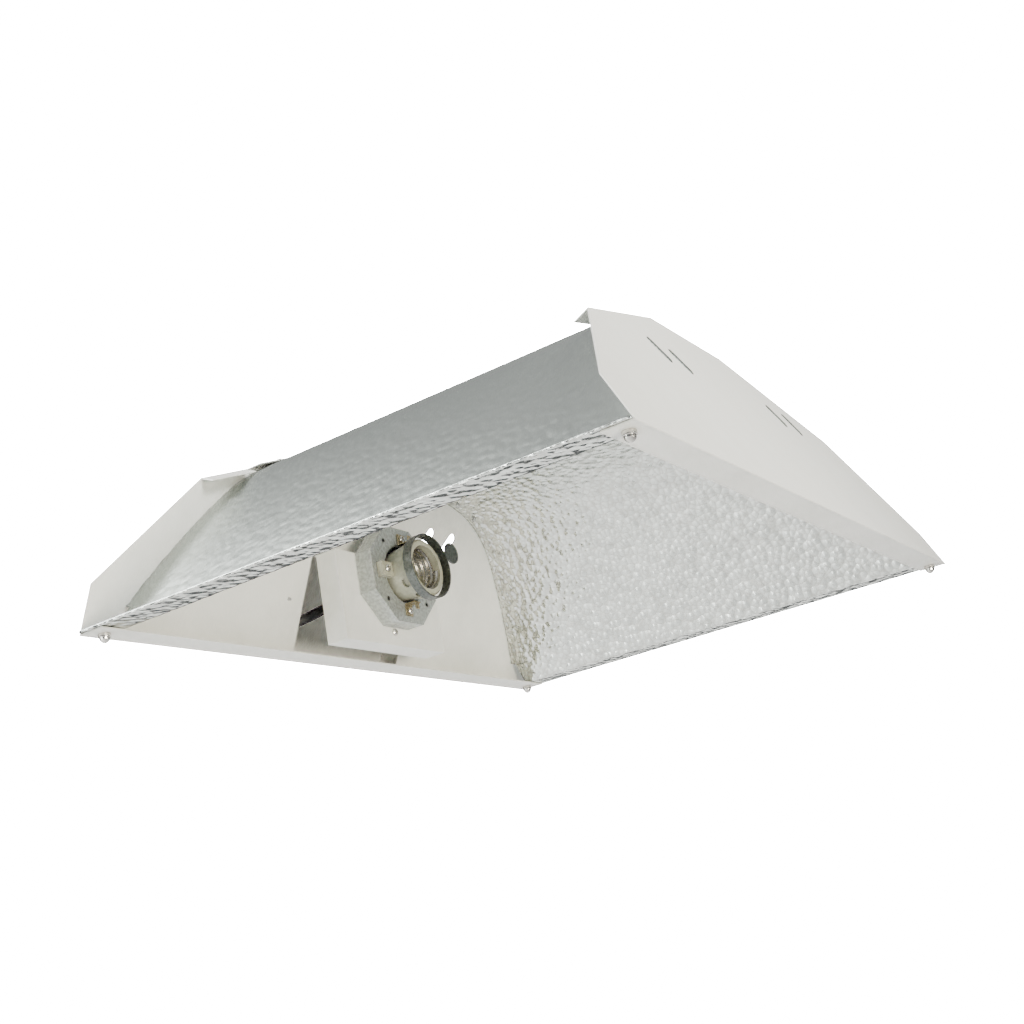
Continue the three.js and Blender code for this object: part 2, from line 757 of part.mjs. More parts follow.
// Point in the hood for a place on the left plate: across towards -Y, up the plate, outwards.
function leftPlatePoint(across, rise, out) {
  const point = new THREE.Vector3(across, rise, out).applyMatrix4(plateFrame);
  return [-point.x, -point.y, point.z];
}

const glandInner = leftPlatePoint(COVER.half - PLATE - GAP - GLAND.inward - GAP, GLAND.rise, GLAND.out);
const glandOuter = leftPlatePoint(COVER.half + GAP + GLAND.outward, GLAND.rise, GLAND.out);

const COIL_FLOOR = APEX + SHEET + STRIP.thickness + 2 * GAP + 1.6;
const COIL_TOP = COIL_FLOOR + 2 * CORD_RADIUS * COIL.layers;
const COIL_INNER = COIL.meanRadius - COIL.turnsAcross * CORD_RADIUS;
const COIL_OUTER = COIL.meanRadius + COIL.turnsAcross * CORD_RADIUS;

// Inside the cover, from the gland to the lead hole of the bracket, where the sheath ends.
const SHEATH_END = -213;

function coverCord() {
  const [x, y, z] = glandInner;
  const points = [
    [x, y, z],
    [x, y + 6, z],
    [x + 9, y + 24, z + 6],
    [x + 20, y + 44, z + 16],
    [x + 29, y + 62, z + 25],
    [SHEATH_END - 18, -8, AXIS_HEIGHT - 3],
    [SHEATH_END - 7, -1, AXIS_HEIGHT],
    [SHEATH_END, -1, AXIS_HEIGHT],
  ];
  return tube(points, CORD_RADIUS, 10, 18);
}

// Free part of the lead: out of the gland, up the outside of the plate and over its crest to the coil.
function freeCord() {
  const [x, y, z] = glandOuter;
  const points = [
    [x, y - GAP, z],
    [x, y - 16, z],
    [x - 1, y - 36, z + 8],
    [x + 4, y - 48, z + 30],
    [x + 16, y - 42, z + 62],
    [x + 32, y - 20, z + 96],
    [x + 50, y + 16, z + 130],
    [x + 68, y + 52, z + 154],
    [x + 88, y + 84, z + 166],
    [x + 106, y + 104, COIL_FLOOR + CORD_RADIUS + 8],
    [COIL.x - COIL_OUTER - CORD_RADIUS - 6, COIL.y - 38, COIL_FLOOR + CORD_RADIUS + 2],
    [COIL.x - COIL_OUTER - CORD_RADIUS - GAP, COIL.y - 12, COIL_FLOOR + CORD_RADIUS],
  ];
  return tube(points, CORD_RADIUS, 10, 36);
}

function cordCoil() {
  const section = [
    [COIL_INNER, COIL_FLOOR],
    [COIL_OUTER, COIL_FLOOR],
    [COIL_OUTER, COIL_TOP],
    [COIL_INNER, COIL_TOP],
  ];
  return ring(section, 40).translate(COIL.x, COIL.y, 0);
}

// The tie goes once round the coil's section, at the side away from the plug.
function coilTie() {
  const half = 7;
  const wall = 1;
  const hollow = COIL_INNER - Math.sqrt(COIL_INNER ** 2 - half ** 2);
  const low = [COIL_INNER - hollow - GAP, -half, COIL_FLOOR - GAP];
  const high = [COIL_OUTER + GAP, half, COIL_TOP + GAP];
  const outer = block([low[0] - wall, low[1], low[2] - wall], [high[0] + wall, high[1], high[2] + wall]);
  const hole = block([low[0], -half - 1, low[2]], [high[0], half + 1, high[2]]);
  return cut(outer, [hole]).rotateZ(THREE.MathUtils.degToRad(60)).translate(COIL.x, COIL.y, 0);
}

const TAIL_BEND = 45;
const PLUG = {
  x: COIL.x + COIL_OUTER - CORD_RADIUS + TAIL_BEND + 6,
  y: COIL.y - TAIL_BEND,
  length: 40,
  half: 13,
  height: 19,
};
const PLUG_FLOOR = APEX + SHEET + STRIP.thickness + 2 * GAP;

// The short stretch from the coil's last turn, in a quarter bend, to the back of the plug.
function plugTail() {
  const z = COIL_FLOOR + CORD_RADIUS;
  const from = COIL.x + COIL_OUTER + CORD_RADIUS + GAP;
  const points = [
    [from, COIL.y + 6, z],
    [from + 1, COIL.y - 8, z],
    [from + 6, COIL.y - 24, z],
    [from + 17, COIL.y - 38, z],
    [PLUG.x - 16, PLUG.y - 1, z],
    [PLUG.x - GAP, PLUG.y, z],
  ];
  return tube(points, CORD_RADIUS, 10, 14);
}

// A moulded plug with a tapered grip; its pins point along +X.
function plugBody() {
  const { length, half, height } = PLUG;
  const outline = [
    [0, -6],
    [8, -6],
    [12, -half],
    [length, -half],
    [length, half],
    [12, half],
    [8, 6],
    [0, 6],
  ];
  return prism(outline, PLUG_FLOOR, PLUG_FLOOR + height).translate(PLUG.x, PLUG.y, 0);
}

function plugPin(across, up) {
  const x = PLUG.x + PLUG.length + GAP;
  const z = PLUG_FLOOR + up;
  return block([x, PLUG.y + across - 2, z - 1], [x + 12, PLUG.y + across + 2, z + 1]);
}

// ---------------------------------------------------------------- inner leads

const LEAD = { radius: 1.1, sides: 8 };

// From the end of the sheath to the seat of the centre contact.
function liveLead() {
  const x = SHEATH_END;
  const seat = BODY_BACK + 0.4 - GAP - LEAD.radius;
  const points = [
    [x + 2 * GAP, 1.5, AXIS_HEIGHT + 1],
    [x + 5, 1.6, AXIS_HEIGHT + 1.4],
    [seat - 4, 3.6, AXIS_HEIGHT + 2],
    [seat, 4, AXIS_HEIGHT],
  ];
  return tube(points, LEAD.radius, LEAD.sides, 10);
}

// From the end of the sheath, round the back of the porcelain, to the box front behind the terminal.
function neutralLead() {
  const x = SHEATH_END;
  const gapX = (BOX_BACK + 1.2 + BODY_BACK) / 2;
  const points = [
    [x + 2 * GAP, -3.6, AXIS_HEIGHT - 1],
    [x + 6, -4, AXIS_HEIGHT - 4],
    [gapX - 4, -3, AXIS_HEIGHT - 9],
    [gapX, -3, AXIS_HEIGHT - 14],
    [gapX, -3, AXIS_HEIGHT - 24],
    [gapX + 4, -2, AXIS_HEIGHT - 31],
    [BOX_FRONT - 3, -1.5, AXIS_HEIGHT - 37],
  ];
  return tube(points, LEAD.radius, LEAD.sides, 24);
}

// ---------------------------------------------------------------- assembly

const hood = new THREE.Group();

const rightPlate = piece("right_end_plate", endPlate([]), whiteCoat);
hood.add(rightPlate);

// The left plate is the same pressing turned round, with a cut-out for the socket bracket.
const leftEnd = new THREE.Group();
leftEnd.rotation.z = Math.PI;
const [cutoutLow, cutoutHigh] = [CUTOUT.bottom, CUTOUT.top].map((height) => height / UP_THE_PLATE);
const cutout = block([-CUTOUT.half, cutoutLow, -4], [CUTOUT.half, cutoutHigh, 4]);
const leftCuts = [cutout, coverHole(-1), coverHole(1)].map((solid) => solid.applyMatrix4(plateFrame));
leftCuts.push(...[-1, 1].map((side) => lipHole(side).rotateZ(Math.PI)));
leftEnd.add(piece("left_end_plate", endPlate(leftCuts), whiteCoat));
hood.add(leftEnd);

// Pieces made in the plate's own directions stand on the outside of the left plate.
const leftOutside = new THREE.Group();
leftOutside.matrixAutoUpdate = false;
leftOutside.matrix.copy(plateFrame);
leftEnd.add(leftOutside);
leftOutside.add(piece("wiring_cover", wiringCover(), whiteCoat));
leftOutside.add(piece("cord_gland", cordGland(), blackRubber));
leftOutside.add(piece("gland_nut", glandNut(), blackRubber));
for (const [name, side] of [["near", 1], ["far", -1]]) {
  const screw = piece(`cover_screw_${name}`, panScrew(COVER_SCREW.radius, 5, 3.6), zinc);
  screw.position.set(side * COVER_SCREW.across, COVER_SCREW.rise, 2 * GAP + PLATE);
  leftOutside.add(screw);
}

const farSheet = piece("far_reflector_sheet", reflectorSheet(), hammered);
const nearSheet = piece("near_reflector_sheet", farSheet.geometry.clone(), hammered);
nearSheet.rotation.z = Math.PI;
hood.add(farSheet, nearSheet);
hood.add(piece("crown_seam_strip", seamStrip(), galvanised));

for (const [end, x] of SEAM_RIVET.x.entries()) {
  for (const [name, side] of [["near", -1], ["far", 1]]) {
    const rivetPiece = piece(`seam_rivet_${name}_${end + 1}`, rivet(SEAM_RIVET.radius, 2.8), zinc);
    rivetPiece.position.set(x, side * SEAM_RIVET.y, APEX + SHEET + STRIP.thickness + 2 * GAP);
    hood.add(rivetPiece);
  }
}

const ENDS = { right: 1, left: -1 };
const SIDES = { near: -1, far: 1 };

for (const [endName, end] of Object.entries(ENDS)) {
  for (const place of tabRivetPlaces()) {
    const sideName = place.y > 0 ? "far" : "near";
    const geometry = onTab(rivet(TAB_RIVET.radius, place.grip).translate(0, 0, GAP), place, end);
    hood.add(piece(`tab_rivet_${endName}_${sideName}_${place.row}`, geometry, zinc));
  }
  for (const [sideName, side] of Object.entries(SIDES)) {
    const screw = piece(`corner_screw_${endName}_${sideName}`, panScrew(CORNER_SCREW.radius, 7, 4.5), zinc);
    screw.position.set(end * CORNER_SCREW.x, side * CORNER_SCREW.y, FOLD_HEIGHT + SHEET + GAP);
    const nut = piece(`dome_nut_${endName}_${sideName}`, domeNut(CORNER_SCREW.radius + GAP), nickel);
    nut.position.set(end * CORNER_SCREW.x, side * CORNER_SCREW.y, -GAP);
    hood.add(screw, nut);
  }
}

hood.add(piece("socket_bracket", socketBracket(), whiteCoat));
for (const [name, side] of [["near", -1], ["far", 1]]) {
  const geometry = throughLip(rivet(BRACKET_RIVET.radius, 3.4).translate(0, 0, GAP), side);
  hood.add(piece(`bracket_rivet_${name}`, geometry, zinc));
  const boxScrew = panScrew(BOX_SCREW.radius, 5, 3.4);
  hood.add(piece(`box_screw_${name}`, alongX(boxScrew, BOX_BACK + 1.2 + GAP, side * BOX_SCREW.y), zinc));
}
hood.add(piece("earth_screw", alongX(panScrew(2, 8, 3.8), BRACKET.face + GAP, EARTH.y, EARTH.z), nickel));

hood.add(piece("octagon_box", holderBox(), galvanised));
hood.add(piece("porcelain_body", porcelainBody(), porcelain));
hood.add(piece("screw_shell", screwShell(), nickel));
hood.add(piece("mouth_ring", gripRing(), darkSteel));
hood.add(piece("centre_contact", centreContact(), brass));
hood.add(piece("contact_spring", contactSpring(), zinc));
hood.add(piece("contact_seat", contactSeat(), brass));

const TERMINAL_PLACES = { live: 86, neutral: 268 };
for (const [name, degrees] of Object.entries(TERMINAL_PLACES)) {
  hood.add(piece(`${name}_terminal`, terminalStrap(degrees), brass));
  hood.add(piece(`${name}_terminal_screw`, terminalScrew(degrees), nickel));
}
for (const [i, [across, up]] of earPlaces().entries()) {
  const x = BOX_FRONT + 2 * GAP + EAR.thickness;
  const screw = alongX(panScrew(1.9, 11, 4), x, across, AXIS_HEIGHT + up);
  hood.add(piece(`holder_screw_${i + 1}`, screw, nickel));
}

hood.add(piece("cover_cord", coverCord(), blackRubber));
hood.add(piece("mains_cord", freeCord(), blackRubber));
hood.add(piece("cord_coil", cordCoil(), blackRubber));
hood.add(piece("plug_tail", plugTail(), blackRubber));
hood.add(piece("live_lead", liveLead(), blackWire));
hood.add(piece("neutral_lead", neutralLead(), whiteWire));
hood.add(piece("coil_tie", coilTie(), blackWire));
hood.add(piece("plug_body", plugBody(), blackRubber));
hood.add(piece("plug_pin_live", plugPin(-7, 6.5), brass));
hood.add(piece("plug_pin_neutral", plugPin(7, 6.5), brass));
hood.add(piece("plug_pin_earth", plugPin(0, 12.5), brass));

hood.position.z = -HANG_HEIGHT;
const growLamp = new THREE.Group();
growLamp.add(hood);

export default growLamp;
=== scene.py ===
"""Looks of the grow lamp hood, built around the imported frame. Metres, +Z up, the frame's own origin."""

import json
import math

import bpy
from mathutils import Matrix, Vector


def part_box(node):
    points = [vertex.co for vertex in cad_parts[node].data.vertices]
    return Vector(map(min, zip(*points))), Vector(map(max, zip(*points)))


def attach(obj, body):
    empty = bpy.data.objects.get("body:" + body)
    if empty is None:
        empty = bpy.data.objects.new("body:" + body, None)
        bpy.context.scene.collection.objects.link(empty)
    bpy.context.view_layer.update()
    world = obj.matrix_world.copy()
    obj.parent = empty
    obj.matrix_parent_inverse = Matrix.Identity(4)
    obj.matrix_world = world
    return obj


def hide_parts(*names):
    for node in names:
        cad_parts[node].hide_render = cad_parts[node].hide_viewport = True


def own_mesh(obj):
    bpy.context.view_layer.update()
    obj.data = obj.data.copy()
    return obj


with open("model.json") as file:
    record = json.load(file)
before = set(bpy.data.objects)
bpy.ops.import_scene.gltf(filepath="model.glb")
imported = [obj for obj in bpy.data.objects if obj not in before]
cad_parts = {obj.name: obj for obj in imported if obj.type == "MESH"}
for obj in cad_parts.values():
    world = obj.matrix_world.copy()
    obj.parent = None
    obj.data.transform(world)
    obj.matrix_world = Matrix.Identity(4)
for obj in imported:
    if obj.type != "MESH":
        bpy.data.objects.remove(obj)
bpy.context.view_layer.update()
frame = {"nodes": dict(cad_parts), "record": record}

bl_info = {
    "name": "Grow lamp hood",
    "version": (1, 0, 0),
    "blender": (4, 5, 0),
    "location": "3D View > Sidebar > Grow lamp",
    "description": "Builds the hammered sheets, coated plates, lampholder and cord of a grow lamp hood",
    "category": "Object",
}

HOOD = "hood"
CONTACT = "contact"
MM = 0.001

MOUNTS = {mount["name"]: mount for mount in frame["record"]["mounts"]}
PLATE_AXIS = MOUNTS["right_plate_face"]["axis"]
PLATE_X = MOUNTS["right_plate_face"]["pos_m"][0]  # outer face of the right plate at the origin's height
OPENING_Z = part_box("near_reflector_sheet")[0][2] - 1.5 * MM  # the plates' undersides are just below this
LEAN = PLATE_AXIS[2] / PLATE_AXIS[0]


# ---------------------------------------------------------------- settings


class SheetSettings(bpy.types.PropertyGroup):
    """Sizes and colours of the hammered sheets."""

    grid: bpy.props.FloatProperty(
        name="Grid", description="Spacing of the sheet's mesh", default=2.3 * MM, unit="LENGTH"
    )
    pebble: bpy.props.FloatProperty(
        name="Pebble", description="Size of one hammered pebble", default=7.5 * MM, unit="LENGTH"
    )
    relief: bpy.props.FloatProperty(
        name="Relief", description="Height of the pebbles", default=0.55 * MM, unit="LENGTH"
    )
    metal: bpy.props.FloatVectorProperty(
        name="Metal", description="Colour of the bright sheet", subtype="COLOR", default=(0.78, 0.81, 0.77)
    )


class CoatSettings(bpy.types.PropertyGroup):
    """Colours of the coated steel and the box."""

    coat: bpy.props.FloatVectorProperty(
        name="Coat", description="White powder coat", subtype="COLOR", default=(0.80, 0.80, 0.75)
    )
    coat_shade: bpy.props.FloatVectorProperty(
        name="Coat shade",
        description="Darker patches of the coat",
        subtype="COLOR",
        default=(0.73, 0.73, 0.68),
    )
    zinc: bpy.props.FloatVectorProperty(
        name="Zinc", description="Galvanised box", subtype="COLOR", default=(0.50, 0.53, 0.51)
    )
    porcelain: bpy.props.FloatVectorProperty(
        name="Porcelain",
        description="Glazed body of the lampholder",
        subtype="COLOR",
        default=(0.40, 0.40, 0.30),
    )


class CordSettings(bpy.types.PropertyGroup):
    """Size and colour of the mains cord."""

    diameter: bpy.props.FloatProperty(
        name="Diameter", description="Thickness of the cord", default=10.0 * MM, unit="LENGTH"
    )
    jacket: bpy.props.FloatVectorProperty(
        name="Jacket", description="Colour of the rubber", subtype="COLOR", default=(0.018, 0.018, 0.02)
    )


# ---------------------------------------------------------------- shader node groups


MIX_FIRST, MIX_SECOND, MIX_RESULT = 6, 7, 2  # the colour sockets of a Mix node, by their place


def new_group(name, inputs, outputs):
    """A shader node group with float or colour sockets, and its input and output nodes."""
    group = bpy.data.node_groups.new(name, "ShaderNodeTree")
    for socket, kind, value in inputs:
        made = group.interface.new_socket(socket, in_out="INPUT", socket_type=kind)
        made.default_value = value
    for socket, kind in outputs:
        group.interface.new_socket(socket, in_out="OUTPUT", socket_type=kind)
    return group, group.nodes.new("NodeGroupInput"), group.nodes.new("NodeGroupOutput")


def object_noise(tree, scale_socket, detail, roughness):
    """Noise read from object coordinates."""
    where = tree.nodes.new("ShaderNodeTexCoord")
    noise = tree.nodes.new("ShaderNodeTexNoise")
    noise.inputs["Detail"].default_value = detail
    noise.inputs["Roughness"].default_value = roughness
    tree.links.new(where.outputs["Object"], noise.inputs["Vector"])
    tree.links.new(scale_socket, noise.inputs["Scale"])
    return noise


def colour_mix(tree, factor, first):
    """A Mix node between two colours, of which the second is set or linked by the caller."""
    mix = tree.nodes.new("ShaderNodeMix")
    mix.data_type = "RGBA"
    tree.links.new(factor, mix.inputs["Factor"])
    tree.links.new(first, mix.inputs[MIX_FIRST])
    return mix


def mottle_group():
    """Two colours mixed in soft patches."""
    group, source, result = new_group(
        "mottle",
        [
            ("Light", "NodeSocketColor", (0.8, 0.8, 0.8, 1)),
            ("Dark", "NodeSocketColor", (0.6, 0.6, 0.6, 1)),
            ("Scale", "NodeSocketFloat", 20.0),
            ("Low", "NodeSocketFloat", 0.35),
            ("High", "NodeSocketFloat", 0.65),
        ],
        [("Color", "NodeSocketColor"), ("Mask", "NodeSocketFloat")],
    )
    noise = object_noise(group, source.outputs["Scale"], detail=5, roughness=0.55)
    spread = group.nodes.new("ShaderNodeMapRange")
    group.links.new(noise.outputs["Fac"], spread.inputs["Value"])
    group.links.new(source.outputs["Low"], spread.inputs["From Min"])
    group.links.new(source.outputs["High"], spread.inputs["From Max"])
    mix = colour_mix(group, spread.outputs["Result"], source.outputs["Light"])
    group.links.new(source.outputs["Dark"], mix.inputs[MIX_SECOND])
    group.links.new(mix.outputs[MIX_RESULT], result.inputs["Color"])
    group.links.new(spread.outputs["Result"], result.inputs["Mask"])
    return group


def grain_group():
    """A fine noise bump, such as orange peel, casting grain or rolled metal."""
    group, source, result = new_group(
        "grain",
        [("Scale", "NodeSocketFloat", 800.0), ("Depth", "NodeSocketFloat", 0.0001)],
        [("Normal", "NodeSocketVector"), ("Height", "NodeSocketFloat")],
    )
    noise = object_noise(group, source.outputs["Scale"], detail=3, roughness=0.5)
    bump = group.nodes.new("ShaderNodeBump")
    bump.inputs["Strength"].default_value = 1.0
    group.links.new(noise.outputs["Fac"], bump.inputs["Height"])
    group.links.new(source.outputs["Depth"], bump.inputs["Distance"])
    group.links.new(bump.outputs["Normal"], result.inputs["Normal"])
    group.links.new(noise.outputs["Fac"], result.inputs["Height"])
    return group


def pebble_group():
    """The crowned cells of a hammered sheet, as a height, with the creases between them as a mask."""
    group, source, result = new_group(
        "pebbles",
        [("Scale", "NodeSocketFloat", 130.0), ("Crease", "NodeSocketFloat", 0.12)],
        [("Height", "NodeSocketFloat"), ("Creases", "NodeSocketFloat")],
    )
    where = group.nodes.new("ShaderNodeTexCoord")
    cells = group.nodes.new("ShaderNodeTexVoronoi")
    cells.feature = "SMOOTH_F1"
    cells.inputs["Smoothness"].default_value = 0.35
    edges = group.nodes.new("ShaderNodeTexVoronoi")
    edges.feature = "DISTANCE_TO_EDGE"
    for node in (cells, edges):
        group.links.new(where.outputs["Object"], node.inputs["Vector"])
        group.links.new(source.outputs["Scale"], node.inputs["Scale"])
    crown = group.nodes.new("ShaderNodeMath")
    crown.operation = "SUBTRACT"
    crown.inputs[0].default_value = 1.0
    group.links.new(cells.outputs["Distance"], crown.inputs[1])
    crease = group.nodes.new("ShaderNodeMapRange")
    crease.inputs["To Min"].default_value = 1.0
    crease.inputs["To Max"].default_value = 0.0
    group.links.new(edges.outputs["Distance"], crease.inputs["Value"])
    group.links.new(source.outputs["Crease"], crease.inputs["From Max"])
    group.links.new(crown.outputs[0], result.inputs["Height"])
    group.links.new(crease.outputs["Result"], result.inputs["Creases"])
    return group


GROUPS = {}


def build_groups():
    """Makes the node groups that the materials share."""
    GROUPS["mottle"] = mottle_group()
    GROUPS["grain"] = grain_group()
    GROUPS["pebbles"] = pebble_group()


# ---------------------------------------------------------------- materials


OUTSIDE_BLEND = 0.05  # upward part of the normal over which the inside turns into the outside
OUTSIDE_DEPTH = 0.18  # strength of the pebble bump on the outside
PEBBLE_BUMP = 0.0022
# painted shade and painted dark reflection, laid in brown along the creases between the pebbles
PAINTED_CREASE_WEIGHT = 0.35
PAINTED_CREASE_SHADE = (0.30, 0.26, 0.21, 1)
# outside colour: a flatter mill finish, darkened further as painted shade
OUTSIDE_MILL_AND_SHADE = (0.39, 0.42, 0.395, 1)


def shaded(colour, amount):
    """The colour, made darker or lighter by an amount."""
    return tuple(amount * part for part in colour)


class Finish:
    """A material under construction: its node tree and its Principled shader."""

    def __init__(self, name, metallic=0.0, roughness=0.5):
        self.material = bpy.data.materials.new(name)
        self.material.use_nodes = True
        self.tree = self.material.node_tree
        self.shader = self.tree.nodes["Principled BSDF"]
        self.shader.inputs["Metallic"].default_value = metallic
        self.shader.inputs["Roughness"].default_value = roughness

    def group(self, name, **values):
        node = self.tree.nodes.new("ShaderNodeGroup")
        node.node_tree = GROUPS[name]
        for socket, value in values.items():
            node.inputs[socket].default_value = value
        return node

    def link(self, output, socket):
        self.tree.links.new(output, self.shader.inputs[socket])

    def mottled(self, light, dark, scale, low=0.35, high=0.65):
        node = self.group("mottle", Light=(*light, 1), Dark=(*dark, 1), Scale=scale, Low=low, High=high)
        self.link(node.outputs["Color"], "Base Color")
        return node

    def grained(self, scale, depth):
        node = self.group("grain", Scale=scale, Depth=depth)
        self.link(node.outputs["Normal"], "Normal")

    def rough_between(self, mask, low, high):
        spread = self.tree.nodes.new("ShaderNodeMapRange")
        spread.inputs["To Min"].default_value = low
        spread.inputs["To Max"].default_value = high
        self.tree.links.new(mask, spread.inputs["Value"])
        self.link(spread.outputs["Result"], "Roughness")


def outside_mask(tree):
    """One on the faces that look up and out of the hood, nought on those that look into it."""
    where = tree.nodes.new("ShaderNodeTexCoord")
    split = tree.nodes.new("ShaderNodeSeparateXYZ")
    spread = tree.nodes.new("ShaderNodeMapRange")
    spread.inputs["From Min"].default_value = -OUTSIDE_BLEND
    spread.inputs["From Max"].default_value = OUTSIDE_BLEND
    tree.links.new(where.outputs["Normal"], split.inputs[0])
    tree.links.new(split.outputs["Z"], spread.inputs["Value"])
    return spread


def hammered_colour(finish, sheet, outside, creases):
    """Bright and mottled inside, with painted shade and painted dark reflection in the creases; outside a
    flat grey, partly mill finish and partly painted shade.
    """
    tree = finish.tree
    metal = finish.mottled(sheet.metal, shaded(sheet.metal, 0.80), scale=60.0)
    weight = tree.nodes.new("ShaderNodeMath")
    weight.operation = "MULTIPLY"
    weight.inputs[1].default_value = PAINTED_CREASE_WEIGHT
    tree.links.new(creases, weight.inputs[0])
    crease_shaded = colour_mix(tree, weight.outputs[0], metal.outputs["Color"])
    crease_shaded.inputs[MIX_SECOND].default_value = PAINTED_CREASE_SHADE
    mill_and_shaded = colour_mix(tree, outside, crease_shaded.outputs[MIX_RESULT])
    mill_and_shaded.inputs[MIX_SECOND].default_value = OUTSIDE_MILL_AND_SHADE
    finish.link(mill_and_shaded.outputs[MIX_RESULT], "Base Color")


def hammered_bump(finish, outside, height):
    """Pebbles over a fine grain, weaker on the outside."""
    tree = finish.tree
    grain = finish.group("grain", Scale=1500.0, Depth=0.00006)
    depth = tree.nodes.new("ShaderNodeMapRange")
    depth.inputs["To Min"].default_value = 1.0
    depth.inputs["To Max"].default_value = OUTSIDE_DEPTH
    bump = tree.nodes.new("ShaderNodeBump")
    bump.inputs["Distance"].default_value = PEBBLE_BUMP
    tree.links.new(outside, depth.inputs["Value"])
    tree.links.new(depth.outputs["Result"], bump.inputs["Strength"])
    tree.links.new(height, bump.inputs["Height"])
    tree.links.new(grain.outputs["Normal"], bump.inputs["Normal"])
    finish.link(bump.outputs["Normal"], "Normal")


def hammered_metal(sheet):
    """Bare aluminium sheet, bright on the inside of the hood."""
    finish = Finish("hammered_aluminium", metallic=1.0)
    outside = outside_mask(finish.tree).outputs["Result"]
    pebbles = finish.group("pebbles", Scale=1.0 / sheet.pebble, Crease=0.15)
    hammered_colour(finish, sheet, outside, pebbles.outputs["Creases"])
    finish.rough_between(outside, low=0.14, high=0.45)
    hammered_bump(finish, outside, pebbles.outputs["Height"])
    return finish.material


def powder_coat(coat):
    """White powder coat with faint patches and orange peel."""
    finish = Finish("white_powder_coat")
    patches = finish.mottled(coat.coat, coat.coat_shade, scale=14.0, low=0.38, high=0.70)
    finish.rough_between(patches.outputs["Mask"], low=0.34, high=0.46)
    finish.shader.inputs["Coat Weight"].default_value = 0.15
    finish.shader.inputs["Coat Roughness"].default_value = 0.3
    finish.grained(scale=900.0, depth=0.00012)
    return finish.material


def galvanised_steel(coat):
    """Zinc with a fine spangle."""
    finish = Finish("galvanised_steel", metallic=0.75)
    spangle = finish.mottled(coat.zinc, shaded(coat.zinc, 0.80), scale=320.0, low=0.40, high=0.60)
    finish.rough_between(spangle.outputs["Mask"], low=0.34, high=0.52)
    finish.grained(scale=500.0, depth=0.0001)
    return finish.material


def plated(name, colour, roughness):
    """Bright plating with faint handling marks."""
    finish = Finish(name, metallic=1.0)
    marks = finish.mottled(colour, shaded(colour, 0.72), scale=400.0, low=0.42, high=0.66)
    finish.rough_between(marks.outputs["Mask"], low=roughness, high=roughness + 0.16)
    finish.grained(scale=2200.0, depth=0.00003)
    return finish.material


def glazed_porcelain(coat):
    """Fired body under a clear glaze."""
    finish = Finish("glazed_porcelain")
    body = finish.mottled(coat.porcelain, shaded(coat.porcelain, 0.74), scale=70.0, low=0.40, high=0.68)
    finish.rough_between(body.outputs["Mask"], low=0.16, high=0.30)
    finish.shader.inputs["Coat Weight"].default_value = 0.5
    finish.shader.inputs["Coat Roughness"].default_value = 0.08
    finish.grained(scale=350.0, depth=0.0001)
    return finish.material


def soft_black(name, colour, roughness):
    """Black rubber or insulation, a little paler where it is worn."""
    finish = Finish(name)
    worn = tuple(1.9 * part + 0.004 for part in colour)
    wear = finish.mottled(colour, worn, scale=220.0, low=0.45, high=0.75)
    finish.rough_between(wear.outputs["Mask"], low=roughness, high=roughness + 0.15)
    finish.grained(scale=1600.0, depth=0.00008)
    return finish.material


def wire_insulation(name, colour):
    """Smooth pale insulation of a lead."""
    finish = Finish(name)
    finish.mottled(colour, shaded(colour, 0.8), scale=500.0)
    finish.rough_between(finish.group("grain", Scale=700.0).outputs["Height"], low=0.3, high=0.5)
    return finish.material


MATERIALS = {}


def build_materials(scene):
    """Makes every material, under the name of its slot."""
    sheet, coat, cord = scene.grow_sheet, scene.grow_coat, scene.grow_cord
    MATERIALS.update(
        hammered=hammered_metal(sheet),
        white_coat=powder_coat(coat),
        galvanised=galvanised_steel(coat),
        zinc=plated("bright_zinc", (0.62, 0.63, 0.63), 0.24),
        nickel=plated("nickel_plate", (0.72, 0.70, 0.65), 0.14),
        dark_steel=plated("dark_steel", (0.13, 0.14, 0.13), 0.34),
        brass=plated("plain_brass", (0.50, 0.43, 0.27), 0.26),
        porcelain=glazed_porcelain(coat),
        black_rubber=soft_black("black_rubber", tuple(cord.jacket), 0.48),
        black_wire=soft_black("black_insulation", (0.02, 0.02, 0.022), 0.36),
        white_wire=wire_insulation("white_insulation", (0.72, 0.70, 0.64)),
    )


SLOT_OF = {part["node"]: part["material_slot"] for part in frame["record"]["subparts"]}


# ---------------------------------------------------------------- modelling helpers


MERGE = 0.00001
COPLANAR = math.radians(0.8)  # faces closer than this are one flat face
ROUND_EDGE = math.radians(35)  # edges blunter than this are shaded smooth


def activate(piece):
    bpy.ops.object.select_all(action="DESELECT")
    piece.select_set(True)
    bpy.context.view_layer.objects.active = piece


def apply_all(piece):
    activate(piece)
    for modifier in list(piece.modifiers):
        bpy.ops.object.modifier_apply(modifier=modifier.name)


def settle(piece, name, body, slot, *nodes):
    """Names a finished piece, gives it its material, hangs it under its body, and hides the imported nodes
    that it replaces.
    """
    piece.name = name
    piece.data.name = name
    piece.data.materials.clear()
    piece.data.materials.append(MATERIALS[slot])
    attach(piece, body)
    if nodes:
        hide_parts(*nodes)
    return piece


